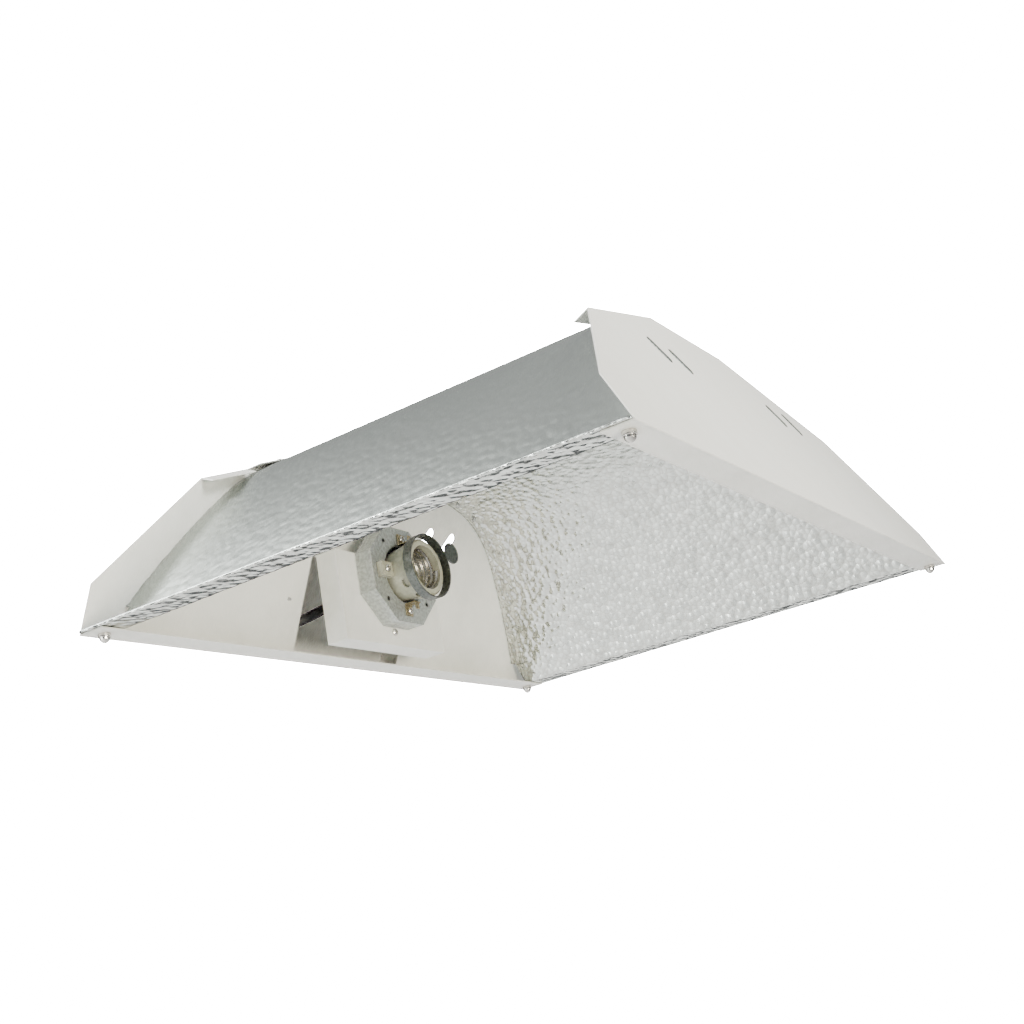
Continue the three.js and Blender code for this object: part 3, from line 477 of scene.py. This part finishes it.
def eased_copy(node, ease, levels=0, angle=25.0, segments=2):
    """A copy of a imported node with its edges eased, and its round stretches made smooth."""
    mesh = frame["nodes"][node].data.copy()
    piece = bpy.data.objects.new(node + "_eased", mesh)
    bpy.context.collection.objects.link(piece)
    activate(piece)
    bpy.ops.mesh.customdata_custom_splitnormals_clear()
    bpy.ops.object.mode_set(mode="EDIT")
    bpy.ops.mesh.select_all(action="SELECT")
    bpy.ops.mesh.remove_doubles(threshold=MERGE)
    bpy.ops.mesh.dissolve_limited(angle_limit=COPLANAR)
    bpy.ops.mesh.vert_connect_concave()
    bpy.ops.object.mode_set(mode="OBJECT")
    bevel = piece.modifiers.new("ease", "BEVEL")
    bevel.width = ease
    bevel.segments = segments
    bevel.limit_method = "ANGLE"
    bevel.angle_limit = math.radians(angle)
    if levels:
        smooth = piece.modifiers.new("round", "SUBSURF")
        smooth.levels = levels
        smooth.render_levels = levels
    apply_all(piece)
    bpy.ops.object.shade_smooth_by_angle(angle=ROUND_EDGE)
    if not levels:
        piece.modifiers.new("flat faces stay flat", "WEIGHTED_NORMAL").keep_sharp = True
        apply_all(piece)
    return piece


def ease_nodes(nodes, ease, levels=0, body=HOOD, **options):
    """Puts an eased copy in the place of each node, on the node's own material slot."""
    for node in nodes:
        piece = eased_copy(node, ease, levels, **options)
        settle(piece, node + "_piece", body, SLOT_OF[node], node)


def curve_tube(name, points, radius, rings=6, sides=4):
    """A smooth tube along one open spline through the points."""
    curve = bpy.data.curves.new(name, "CURVE")
    curve.dimensions = "3D"
    curve.resolution_u = rings
    curve.bevel_depth = radius
    curve.bevel_resolution = sides
    curve.use_fill_caps = True
    spline = curve.splines.new("BEZIER")
    spline.bezier_points.add(len(points) - 1)
    for point, place in zip(spline.bezier_points, points):
        point.co = place
        point.handle_left_type = "AUTO"
        point.handle_right_type = "AUTO"
    piece = bpy.data.objects.new(name, curve)
    bpy.context.collection.objects.link(piece)
    return piece


def as_mesh(piece):
    """Turns a curve into a smooth mesh."""
    activate(piece)
    bpy.ops.object.convert(target="MESH")
    bpy.ops.object.shade_smooth_by_angle(angle=math.radians(50))
    return bpy.context.view_layer.objects.active


# ---------------------------------------------------------------- hammered sheets

SHEET = 0.8 * MM
SEAM = 1.0 * MM
CROWN = {"radius": 683 * MM, "end": math.radians(12.1)}
SHOULDER = {"radius": 156 * MM, "end": math.radians(45)}
SIDE_RADIUS = 766 * MM
FOLD_Z = OPENING_Z + 1.5 * MM
FLANGE = 29 * MM
LIP = 3 * MM
RELIEF = {"reach": 251.5 * MM, "top": 24 * MM, "inward": 16 * MM}
END_GAP = 1.9 * MM


def arc(start, radius, low, high, spacing):
    """Points of an arc that goes on from the start, between two slopes."""
    steps = max(2, round(radius * (high - low) / spacing))
    angles = [low + (high - low) * i / steps for i in range(1, steps + 1)]
    return [
        (
            start[0] + radius * (math.sin(angle) - math.sin(low)),
            start[1] + radius * (math.cos(angle) - math.cos(low)),
        )
        for angle in angles
    ]


def straight(start, end, spacing):
    """Points of a straight stretch after its start."""
    steps = max(1, round(math.dist(start, end) / spacing))
    return [
        (start[0] + (end[0] - start[0]) * i / steps, start[1] + (end[1] - start[1]) * i / steps)
        for i in range(1, steps + 1)
    ]


def sheet_section(spacing):
    """The inner face of a sheet as (across, height), from the crown seam to the lip."""
    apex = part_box("far_reflector_sheet")[1][2] - SHEET
    first = math.asin(SEAM / CROWN["radius"])
    line = [(SEAM, apex)]
    line += arc(line[-1], CROWN["radius"], first, CROWN["end"], spacing)
    line += arc(line[-1], SHOULDER["radius"], CROWN["end"], SHOULDER["end"], spacing)
    last = math.acos(math.cos(SHOULDER["end"]) - (line[-1][1] - FOLD_Z) / SIDE_RADIUS)
    line += arc(line[-1], SIDE_RADIUS, SHOULDER["end"], last, spacing)
    edge = line[-1][0] + FLANGE
    line += straight(line[-1], (edge - SHEET, FOLD_Z), spacing)
    line += straight(line[-1], (edge - SHEET, FOLD_Z + LIP - SHEET), LIP)
    return line, line[-1][0] - FLANGE


def sheet_reach(across, height, foot):
    """Half length of the sheet at a place of its section, with the corner relief taken out."""
    full = PLATE_X - LEAN * height - END_GAP
    above_fold = height - FOLD_Z
    if foot - RELIEF["inward"] < across < foot + SHEET and SHEET < above_fold < RELIEF["top"]:
        return min(full, RELIEF["reach"])
    return full


def hammered_sheet(side, settings):
    """A grid laid along the section, hammered, and given its thickness on the outside."""
    section, foot = sheet_section(settings.grid)
    columns = round(2 * PLATE_X / settings.grid)
    bpy.ops.object.select_all(action="DESELECT")
    bpy.ops.mesh.primitive_grid_add(x_subdivisions=columns, y_subdivisions=len(section) - 1, size=2)
    piece = bpy.context.object
    for vertex in piece.data.vertices:
        row = round((vertex.co.y + 1) / 2 * (len(section) - 1))
        across, height = section[row]
        along = vertex.co.x * sheet_reach(across, height, foot)
        vertex.co = (side * along, side * across, height)
    hammer = bpy.data.textures.new("hammer_marks", "VORONOI")
    hammer.noise_scale = settings.pebble
    marks = piece.modifiers.new("hammer", "DISPLACE")
    marks.texture = hammer
    marks.texture_coords = "LOCAL"
    marks.strength = settings.relief
    marks.mid_level = 0.5
    wall = piece.modifiers.new("wall", "SOLIDIFY")
    wall.thickness = SHEET
    wall.offset = 1.0
    apply_all(piece)
    bpy.ops.object.shade_smooth()
    return piece


class GROW_OT_sheets(bpy.types.Operator):
    """Build the two hammered reflector sheets"""

    bl_idname = "grow.sheets"
    bl_label = "Hammered sheets"

    def execute(self, context):
        for name, side in (("far", 1), ("near", -1)):
            piece = hammered_sheet(side, context.scene.grow_sheet)
            settle(piece, f"{name}_hammered_sheet", HOOD, "hammered", f"{name}_reflector_sheet")
        return {"FINISHED"}


# ---------------------------------------------------------------- plates, bracket and box

ENDS = ("right", "left")
SIDES = ("near", "far")

OPENINGS = frame["record"]["physics"]["openings"]
SLOTS = [opening for opening in OPENINGS if opening["name"].startswith("slot_")]
SLOT_REACH = 19 * MM
FACE_ALONG = 0.8  # cosine to the plate's own normal, from which a face is no longer a slot's wall


def middle(box):
    """Centre of a box given by two corners."""
    return (Vector(box[0]) + Vector(box[1])) / 2


def painted_slot_shade(piece):
    """The walls of the hanger slots take the dark steel material as painted shade, so that the slots read
    dark.
    """
    piece.data.materials.append(MATERIALS["dark_steel"])
    side = 1 if middle(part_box(piece.name.replace("_piece", ""))).x > 0 else -1
    out = Vector((side * PLATE_AXIS[0], 0, PLATE_AXIS[2]))
    places = [middle(slot["box_m"]) for slot in SLOTS]
    for face in piece.data.polygons:
        close = any((face.center - place).length < SLOT_REACH for place in places)
        if close and abs(face.normal.dot(out)) < FACE_ALONG:
            face.material_index = 1


class GROW_OT_plates(bpy.types.Operator):
    """Ease the folded edges of the coated and galvanised sheet metal"""

    bl_idname = "grow.plates"
    bl_label = "Plates, bracket, cover and box"

    def execute(self, context):
        ease_nodes(["right_end_plate", "left_end_plate"], 0.3 * MM)
        # the walls of the hanger slots are painted dark steel as shade
        for end in ENDS:
            painted_slot_shade(bpy.data.objects[f"{end}_end_plate_piece"])
        ease_nodes(["socket_bracket", "wiring_cover"], 0.35 * MM)
        ease_nodes(["octagon_box"], 0.4 * MM)
        ease_nodes(["crown_seam_strip"], 0.15 * MM)
        return {"FINISHED"}


# ---------------------------------------------------------------- fasteners


class GROW_OT_fasteners(bpy.types.Operator):
    """Round the rivets, screws and dome nuts"""

    bl_idname = "grow.fasteners"
    bl_label = "Rivets, screws and nuts"

    def execute(self, context):
        corners = [f"{end}_{side}" for end in ENDS for side in SIDES]
        rivets = [f"tab_rivet_{corner}_{row}" for corner in corners for row in ("high", "low")]
        rivets += [f"seam_rivet_{side}_{i}" for side in SIDES for i in (1, 2)]
        rivets += [f"bracket_rivet_{side}" for side in SIDES]
        screws = [f"corner_screw_{corner}" for corner in corners]
        screws += [f"{name}_{side}" for name in ("box_screw", "cover_screw") for side in SIDES]
        screws += ["earth_screw", "holder_screw_1", "holder_screw_2"]
        screws += ["live_terminal_screw", "neutral_terminal_screw"]
        nuts = [f"dome_nut_{corner}" for corner in corners]
        ease_nodes(rivets, 0.2 * MM, 1)
        ease_nodes(screws, 0.15 * MM, 1)
        ease_nodes(nuts, 0.25 * MM, 1)
        return {"FINISHED"}


# ---------------------------------------------------------------- lampholder

THREAD = {
    "pitch": 6.35 * MM, "depth": 1.1 * MM, "wall": 0.5 * MM, "spare": 2 * MM, "rim": 0.4 * MM,
    "per_wave": 12, "per_turn": 48, "merge": 0.00002,
}
SHELL_FLOOR = {"inset": 1.6 * MM, "level": 0.4 * MM, "wall": 0.5 * MM, "hole": 0.48, "corners": 64}


def thread_profile(radius):
    """One wave of the rolled thread, as a line of edges along +Z."""
    count = THREAD["per_wave"]
    points = []
    for i in range(count + 1):
        phase = 2 * math.pi * i / count
        points.append((radius + THREAD["depth"] / 2 * math.cos(phase), 0.0, THREAD["pitch"] * i / count))
    mesh = bpy.data.meshes.new("thread")
    mesh.from_pydata(points, [(i, i + 1) for i in range(count)], [])
    piece = bpy.data.objects.new("thread", mesh)
    bpy.context.collection.objects.link(piece)
    return piece


def thread_shell():
    """The lamp shell: a rolled helical thread made by one wave of profile screwed round the axis."""
    low, high = (Vector(corner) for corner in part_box("screw_shell"))
    centre = middle((low, high))
    turns = math.floor((high.x - low.x - THREAD["spare"]) / THREAD["pitch"])
    piece = thread_profile((high.y - low.y) / 2 - THREAD["depth"] / 2)
    screw = piece.modifiers.new("thread", "SCREW")
    screw.angle = 2 * math.pi
    screw.screw_offset = THREAD["pitch"]
    screw.iterations = turns - 1
    screw.steps = THREAD["per_turn"]
    screw.render_steps = THREAD["per_turn"]
    screw.use_merge_vertices = True
    screw.merge_threshold = THREAD["merge"]
    wall = piece.modifiers.new("wall", "SOLIDIFY")
    wall.thickness = THREAD["wall"]
    wall.offset = -1.0
    apply_all(piece)
    start = high.x - turns * THREAD["pitch"] - THREAD["rim"]
    for vertex in piece.data.vertices:
        x, y, z = vertex.co
        vertex.co = (start + z, centre.y + x, centre.z + y)
    activate(piece)
    bpy.ops.object.mode_set(mode="EDIT")
    bpy.ops.mesh.select_all(action="SELECT")
    bpy.ops.mesh.normals_make_consistent(inside=False)
    bpy.ops.object.mode_set(mode="OBJECT")
    bpy.ops.object.shade_smooth_by_angle(angle=math.radians(60))
    return piece


def shell_floor():
    """The flat floor of the lamp shell, with the hole for the centre contact."""
    low, high = (Vector(corner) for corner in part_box("screw_shell"))
    centre = middle((low, high))
    place = (low.x + SHELL_FLOOR["level"], centre.y, centre.z)
    bpy.ops.object.select_all(action="DESELECT")
    bpy.ops.mesh.primitive_circle_add(
        vertices=SHELL_FLOOR["corners"],
        radius=(high.y - low.y) / 2 - SHELL_FLOOR["inset"],
        location=place,
        rotation=(0, math.pi / 2, 0),
    )
    piece = bpy.context.object
    bpy.ops.object.transform_apply(location=True, rotation=True, scale=True)
    bpy.ops.object.mode_set(mode="EDIT")
    bpy.ops.mesh.extrude_region_move()
    bpy.ops.transform.resize(value=(1, SHELL_FLOOR["hole"], SHELL_FLOOR["hole"]), center_override=place)
    bpy.ops.object.mode_set(mode="OBJECT")
    wall = piece.modifiers.new("wall", "SOLIDIFY")
    wall.thickness = SHELL_FLOOR["wall"]
    apply_all(piece)
    bpy.ops.object.shade_smooth_by_angle(angle=ROUND_EDGE)
    return piece


SPRING = {"radius": 3.3 * MM, "wire": 0.5 * MM, "turns": 4, "per_turn": 14}


def return_spring():
    """The coil behind the centre contact."""
    low, high = (Vector(corner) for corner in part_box("contact_spring"))
    axis = middle((low, high))
    count = SPRING["turns"] * SPRING["per_turn"]
    start, end = low.x + SPRING["wire"], high.x - SPRING["wire"]
    points = []
    for i in range(count + 1):
        angle = 2 * math.pi * i / SPRING["per_turn"]
        points.append(
            (
                start + (end - start) * i / count,
                axis.y + SPRING["radius"] * math.cos(angle),
                axis.z + SPRING["radius"] * math.sin(angle),
            )
        )
    return as_mesh(curve_tube("return_spring", points, SPRING["wire"], rings=2, sides=3))


class GROW_OT_lampholder(bpy.types.Operator):
    """Build the lampholder: porcelain, ring, threaded shell, contacts and terminals"""

    bl_idname = "grow.lampholder"
    bl_label = "Lampholder"

    def execute(self, context):
        ease_nodes(["porcelain_body"], 0.7 * MM, segments=3)
        ease_nodes(["mouth_ring"], 0.3 * MM)
        ease_nodes(["live_terminal", "neutral_terminal"], 0.2 * MM)
        ease_nodes(["contact_seat"], 0.15 * MM, 1)
        ease_nodes(["centre_contact"], 0.3 * MM, 1, body=CONTACT)
        settle(thread_shell(), "threaded_shell", HOOD, "nickel", "screw_shell")
        settle(shell_floor(), "shell_floor", HOOD, "nickel")
        spring = settle(return_spring(), "return_spring", HOOD, "zinc", "contact_spring")
        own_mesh(spring)
        return {"FINISHED"}


# ---------------------------------------------------------------- cord

CORD_RADIUS = 5 * MM
PITCH = 2 * CORD_RADIUS
PLUG_GAP = 0.3 * MM
COIL = {
    "x": -55 * MM, "y": 22 * MM, "outer": 80 * MM, "inner": 41.4 * MM, "start": math.radians(175),
    "lead_in": 0.12, "climb": 0.34, "lead_out": 0.30, "steps": 18,
}
TAIL = {"bend": 8 * CORD_RADIUS, "start": 185, "sweep": 85, "steps": 5}  # angles in degrees
GLAND_END = (-270.13 * MM, -127.6 * MM, OPENING_Z + 38.07 * MM)  # just outside the gland
AXIS_Z = OPENING_Z + 74 * MM
SHEATH_START = (GLAND_END[0], -88.2 * MM, GLAND_END[2])
SHEATH_END = (-213 * MM, -1 * MM, AXIS_Z)


def along_plate():
    """From the gland in a wide bend, up the outside of the left plate and over its crest to the coil."""
    steps = [
        (0, 0, 0), (0, -14, 0), (0, -33.4, 4.3), (1, -49.2, 16.4), (6, -58.4, 34.1), (13, -59.3, 54),
        (19, -53.8, 69), (31, -38, 94), (44, -14, 120), (56, 18, 141), (70, 50, 155), (88, 84, 165.6),
        (107, 112, 165.2), (119.5, 135.6, 161.2),
    ]
    return [tuple(start + step * MM for start, step in zip(GLAND_END, offset)) for offset in steps]


def coil_turns():
    """Clockwise turns: in along the lower layer, up at the middle, and out along the upper layer."""
    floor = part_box("cord_coil")[0][2] + CORD_RADIUS
    across = (COIL["outer"] - COIL["inner"]) / PITCH
    total = COIL["lead_in"] + 2 * across + COIL["climb"] + COIL["lead_out"]
    count = round(total * COIL["steps"])
    points = []
    for i in range(count + 1):
        turn = total * i / count
        radius, height = coil_place(turn, across)
        angle = COIL["start"] - 2 * math.pi * turn
        points.append(
            (COIL["x"] + radius * math.cos(angle), COIL["y"] + radius * math.sin(angle), floor + height)
        )
    return points


def coil_place(turn, across):
    """Radius of the coil's line and its height over the lower layer, after some turns."""
    if turn < COIL["lead_in"]:
        return COIL["outer"] + PITCH * (1 - turn / COIL["lead_in"]), 0.0
    turn -= COIL["lead_in"]
    if turn < across:
        return COIL["outer"] - PITCH * turn, 0.0
    turn -= across
    if turn < COIL["climb"]:
        return COIL["inner"], PITCH * turn / COIL["climb"]
    turn -= COIL["climb"]
    if turn < across:
        return COIL["inner"] + PITCH * turn, PITCH
    swing = math.pi / 2 * (turn - across) / COIL["lead_out"]
    return COIL["outer"] + PITCH * math.sin(swing), PITCH * math.cos(swing)


def plug_tail_route():
    """A quarter bend of four diameters from the coil's side to the back of the plug."""
    low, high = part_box("plug_body")
    bend = TAIL["bend"]
    centre = (low[0] - PLUG_GAP, (low[1] + high[1]) / 2 + bend)
    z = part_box("cord_coil")[0][2] + CORD_RADIUS
    count = TAIL["steps"]
    angles = [math.radians(TAIL["start"] + TAIL["sweep"] * i / count) for i in range(count + 1)]
    return [(centre[0] + bend * math.cos(a), centre[1] + bend * math.sin(a), z) for a in angles]


def end_square(cord, reach):
    """Brings the cord into the back of the plug along +X, so that its end face lies square to it."""
    last = cord.data.splines[0].bezier_points[-1]
    last.handle_left_type = "FREE"
    last.handle_left = last.co - Vector((reach, 0, 0))


class GROW_OT_cord(bpy.types.Operator):
    """Lay the mains cord, its gland, tie and plug, and the sheathed cord inside the cover"""

    bl_idname = "grow.cord"
    bl_label = "Cord and plug"

    def execute(self, context):
        ease_nodes(["cord_gland", "gland_nut", "coil_tie"], 0.4 * MM, angle=20.0)
        plug = eased_copy("plug_body", 2.4 * MM, segments=4)
        settle(plug, "moulded_plug", HOOD, "black_rubber", "plug_body")
        pins = [f"plug_pin_{name}" for name in ("live", "neutral", "earth")]
        ease_nodes(pins, 0.35 * MM)
        route = along_plate() + coil_turns() + plug_tail_route()
        cord = curve_tube("mains_cord_line", route, context.scene.grow_cord.diameter / 2)
        end_square(cord, PITCH / 2)
        settle(cord, "mains_lead", HOOD, "black_rubber", "mains_cord", "cord_coil", "plug_tail")
        build_sheath()
        return {"FINISHED"}


def build_sheath():
    """The sheathed cord inside the cover, from the gland towards the lampholder."""
    steps = [(0, 0, 0), (0, 6, 0), (9, 24, 6), (20, 44, 16), (29, 62, 25)]
    points = [tuple(start + step * MM for start, step in zip(SHEATH_START, offset)) for offset in steps]
    end_x, _, end_z = SHEATH_END
    points += [(end_x - 18 * MM, -8 * MM, end_z - 3 * MM), (end_x - 7 * MM, -1 * MM, end_z), SHEATH_END]
    piece = as_mesh(curve_tube("sheath", points, CORD_RADIUS))
    settle(piece, "inner_sheath", HOOD, "black_rubber", "cover_cord")


# ---------------------------------------------------------------- carried-over nodes


class GROW_OT_carried(bpy.types.Operator):
    """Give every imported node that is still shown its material"""

    bl_idname = "grow.carried"
    bl_label = "Materials of the packed nodes"

    def execute(self, context):
        for name, node in frame["nodes"].items():
            node.data.materials.clear()
            node.data.materials.append(MATERIALS[SLOT_OF[name]])
        return {"FINISHED"}


# ---------------------------------------------------------------- stage

CAMERA = {
    "place": (0.6379, -1.1651, -0.4678), "turn": (107.903, 9.951, 33.326), "lens": 50.46, "sensor": 36,
}
FLOOR = {"size": 7, "height": -1.1}
SURROUND = 60.0  # strength of the white seen behind the object
SOFT_LIGHT = 0.2
WARM = (1.0, 0.93, 0.78)
SPOTS = (
    {
        "name": "key", "place": (2.4, -0.9, 0.9), "target": (0.15, 0, 0), "cone": 32, "radius": 0.5,
        "power": 560, "colour": (1.0, 1.0, 0.98),
    },
    {
        "name": "low", "place": (2.0, -0.9, -0.75), "target": (-0.15, 0, -0.05), "cone": 34, "radius": 0.35,
        "power": 270, "colour": WARM,
    },
)
GLINT = {"place": (-1.0, -2.0, -0.6), "radius": 0.4, "power": 50, "colour": (0.97, 1.0, 0.98)}
AREAS = (
    {"name": "pool", "place": (-1.1, -1.3, 0.9), "target": (-0.7, -0.8, -1.1), "size": 0.7, "power": 100},
    {"name": "back_pool", "place": (-0.7, 2.6, 0.7), "target": (-0.8, 2, -1.1), "size": 1.2, "power": 110},
    {"name": "top", "place": (0.2, 0.4, 2.2), "target": (0, 0, 0), "size": 2.0, "power": 12},
)


def hang(light, place, target=None):
    """Puts a light in the scene, turned to its target if it has one."""
    lamp = bpy.data.objects.new(light.name, light)
    lamp.location = place
    if target:
        lamp.rotation_euler = (Vector(target) - Vector(place)).to_track_quat("-Z", "Y").to_euler()
    bpy.context.collection.objects.link(lamp)


def area_light(name, place, target, size, power):
    """A square of white light."""
    light = bpy.data.lights.new(name, "AREA")
    light.shape = "SQUARE"
    light.size = size
    light.energy = power
    hang(light, place, target)


def soft_spot(name, place, target, cone, radius, power, colour):
    """A soft lamp whose cone covers the object and leaves the floor beside it in shade."""
    light = bpy.data.lights.new(name, "SPOT")
    light.spot_size = math.radians(cone)
    light.spot_blend = 0.5
    light.shadow_soft_size = radius
    light.energy = power
    light.color = colour
    hang(light, place, target)


def soft_lamp(name, place, radius, power, colour):
    """A soft lamp that shines all round."""
    light = bpy.data.lights.new(name, "POINT")
    light.shadow_soft_size = radius
    light.energy = power
    light.color = colour
    hang(light, place)


def set_camera(context):
    """The camera of the main view."""
    lens = bpy.data.cameras.new("view")
    lens.lens = CAMERA["lens"]
    lens.sensor_width = CAMERA["sensor"]
    camera = bpy.data.objects.new("view", lens)
    camera.location = CAMERA["place"]
    camera.rotation_euler = [math.radians(angle) for angle in CAMERA["turn"]]
    context.collection.objects.link(camera)
    context.scene.camera = camera


def lay_floor(context):
    """The pale floor below the object."""
    bpy.ops.object.select_all(action="DESELECT")
    bpy.ops.mesh.primitive_plane_add(size=FLOOR["size"], location=(0, 0, FLOOR["height"]))
    floor = context.object
    floor.name = "floor"
    paint = Finish("pale_floor", roughness=0.8)
    paint.mottled((0.80, 0.80, 0.79), (0.76, 0.76, 0.75), scale=3.0)
    floor.data.materials.append(paint.material)


def studio_world():
    """Soft light all round, with a white surround behind the object."""
    world = bpy.data.worlds.new("studio")
    world.use_nodes = True
    tree = world.node_tree
    soft = tree.nodes["Background"]
    soft.inputs["Color"].default_value = (0.93, 0.96, 1.0, 1)
    soft.inputs["Strength"].default_value = SOFT_LIGHT
    white = tree.nodes.new("ShaderNodeBackground")
    white.inputs["Strength"].default_value = SURROUND
    path = tree.nodes.new("ShaderNodeLightPath")
    mix = tree.nodes.new("ShaderNodeMixShader")
    tree.links.new(path.outputs["Is Camera Ray"], mix.inputs["Fac"])
    tree.links.new(soft.outputs[0], mix.inputs[1])
    tree.links.new(white.outputs[0], mix.inputs[2])
    tree.links.new(mix.outputs[0], tree.nodes["World Output"].inputs["Surface"])
    bpy.context.scene.world = world


class GROW_OT_stage(bpy.types.Operator):
    """Set the camera, the pale floor and the soft lights"""

    bl_idname = "grow.stage"
    bl_label = "Stage"

    def execute(self, context):
        set_camera(context)
        lay_floor(context)
        for spot in SPOTS:
            soft_spot(**spot)
        soft_lamp("glint", **GLINT)
        for area in AREAS:
            area_light(**area)
        studio_world()
        return {"FINISHED"}


# ---------------------------------------------------------------- panel and running


class GROW_PT_panel(bpy.types.Panel):
    """Lists the steps of the grow lamp hood"""

    bl_label = "Grow lamp hood"
    bl_idname = "GROW_PT_panel"
    bl_space_type = "VIEW_3D"
    bl_region_type = "UI"
    bl_category = "Grow lamp"

    def draw(self, context):
        for settings in (context.scene.grow_sheet, context.scene.grow_coat, context.scene.grow_cord):
            for name in settings.bl_rna.properties.keys():
                if name not in ("rna_type", "name"):
                    self.layout.prop(settings, name)
        for step in STEPS:
            self.layout.operator(step.bl_idname)


STEPS = (
    GROW_OT_stage, GROW_OT_cord, GROW_OT_sheets, GROW_OT_plates, GROW_OT_fasteners,
    GROW_OT_lampholder, GROW_OT_carried,
)
SETTINGS = {"grow_sheet": SheetSettings, "grow_coat": CoatSettings, "grow_cord": CordSettings}


def register():
    """Adds the settings, the operators and the panel to Blender."""
    for cls in (*SETTINGS.values(), *STEPS, GROW_PT_panel):
        bpy.utils.register_class(cls)
    for name, cls in SETTINGS.items():
        setattr(bpy.types.Scene, name, bpy.props.PointerProperty(type=cls))


def unregister():
    """Takes away what register added."""
    for name in SETTINGS:
        delattr(bpy.types.Scene, name)
    for cls in reversed((*SETTINGS.values(), *STEPS, GROW_PT_panel)):
        bpy.utils.unregister_class(cls)


def main():
    """Runs every step in order."""
    register()
    build_groups()
    build_materials(bpy.context.scene)
    bpy.ops.grow.stage()
    bpy.ops.grow.cord()
    bpy.ops.grow.sheets()
    bpy.ops.grow.plates()
    bpy.ops.grow.fasteners()
    bpy.ops.grow.lampholder()
    bpy.ops.grow.carried()


if __name__ == "__main__":
    main()
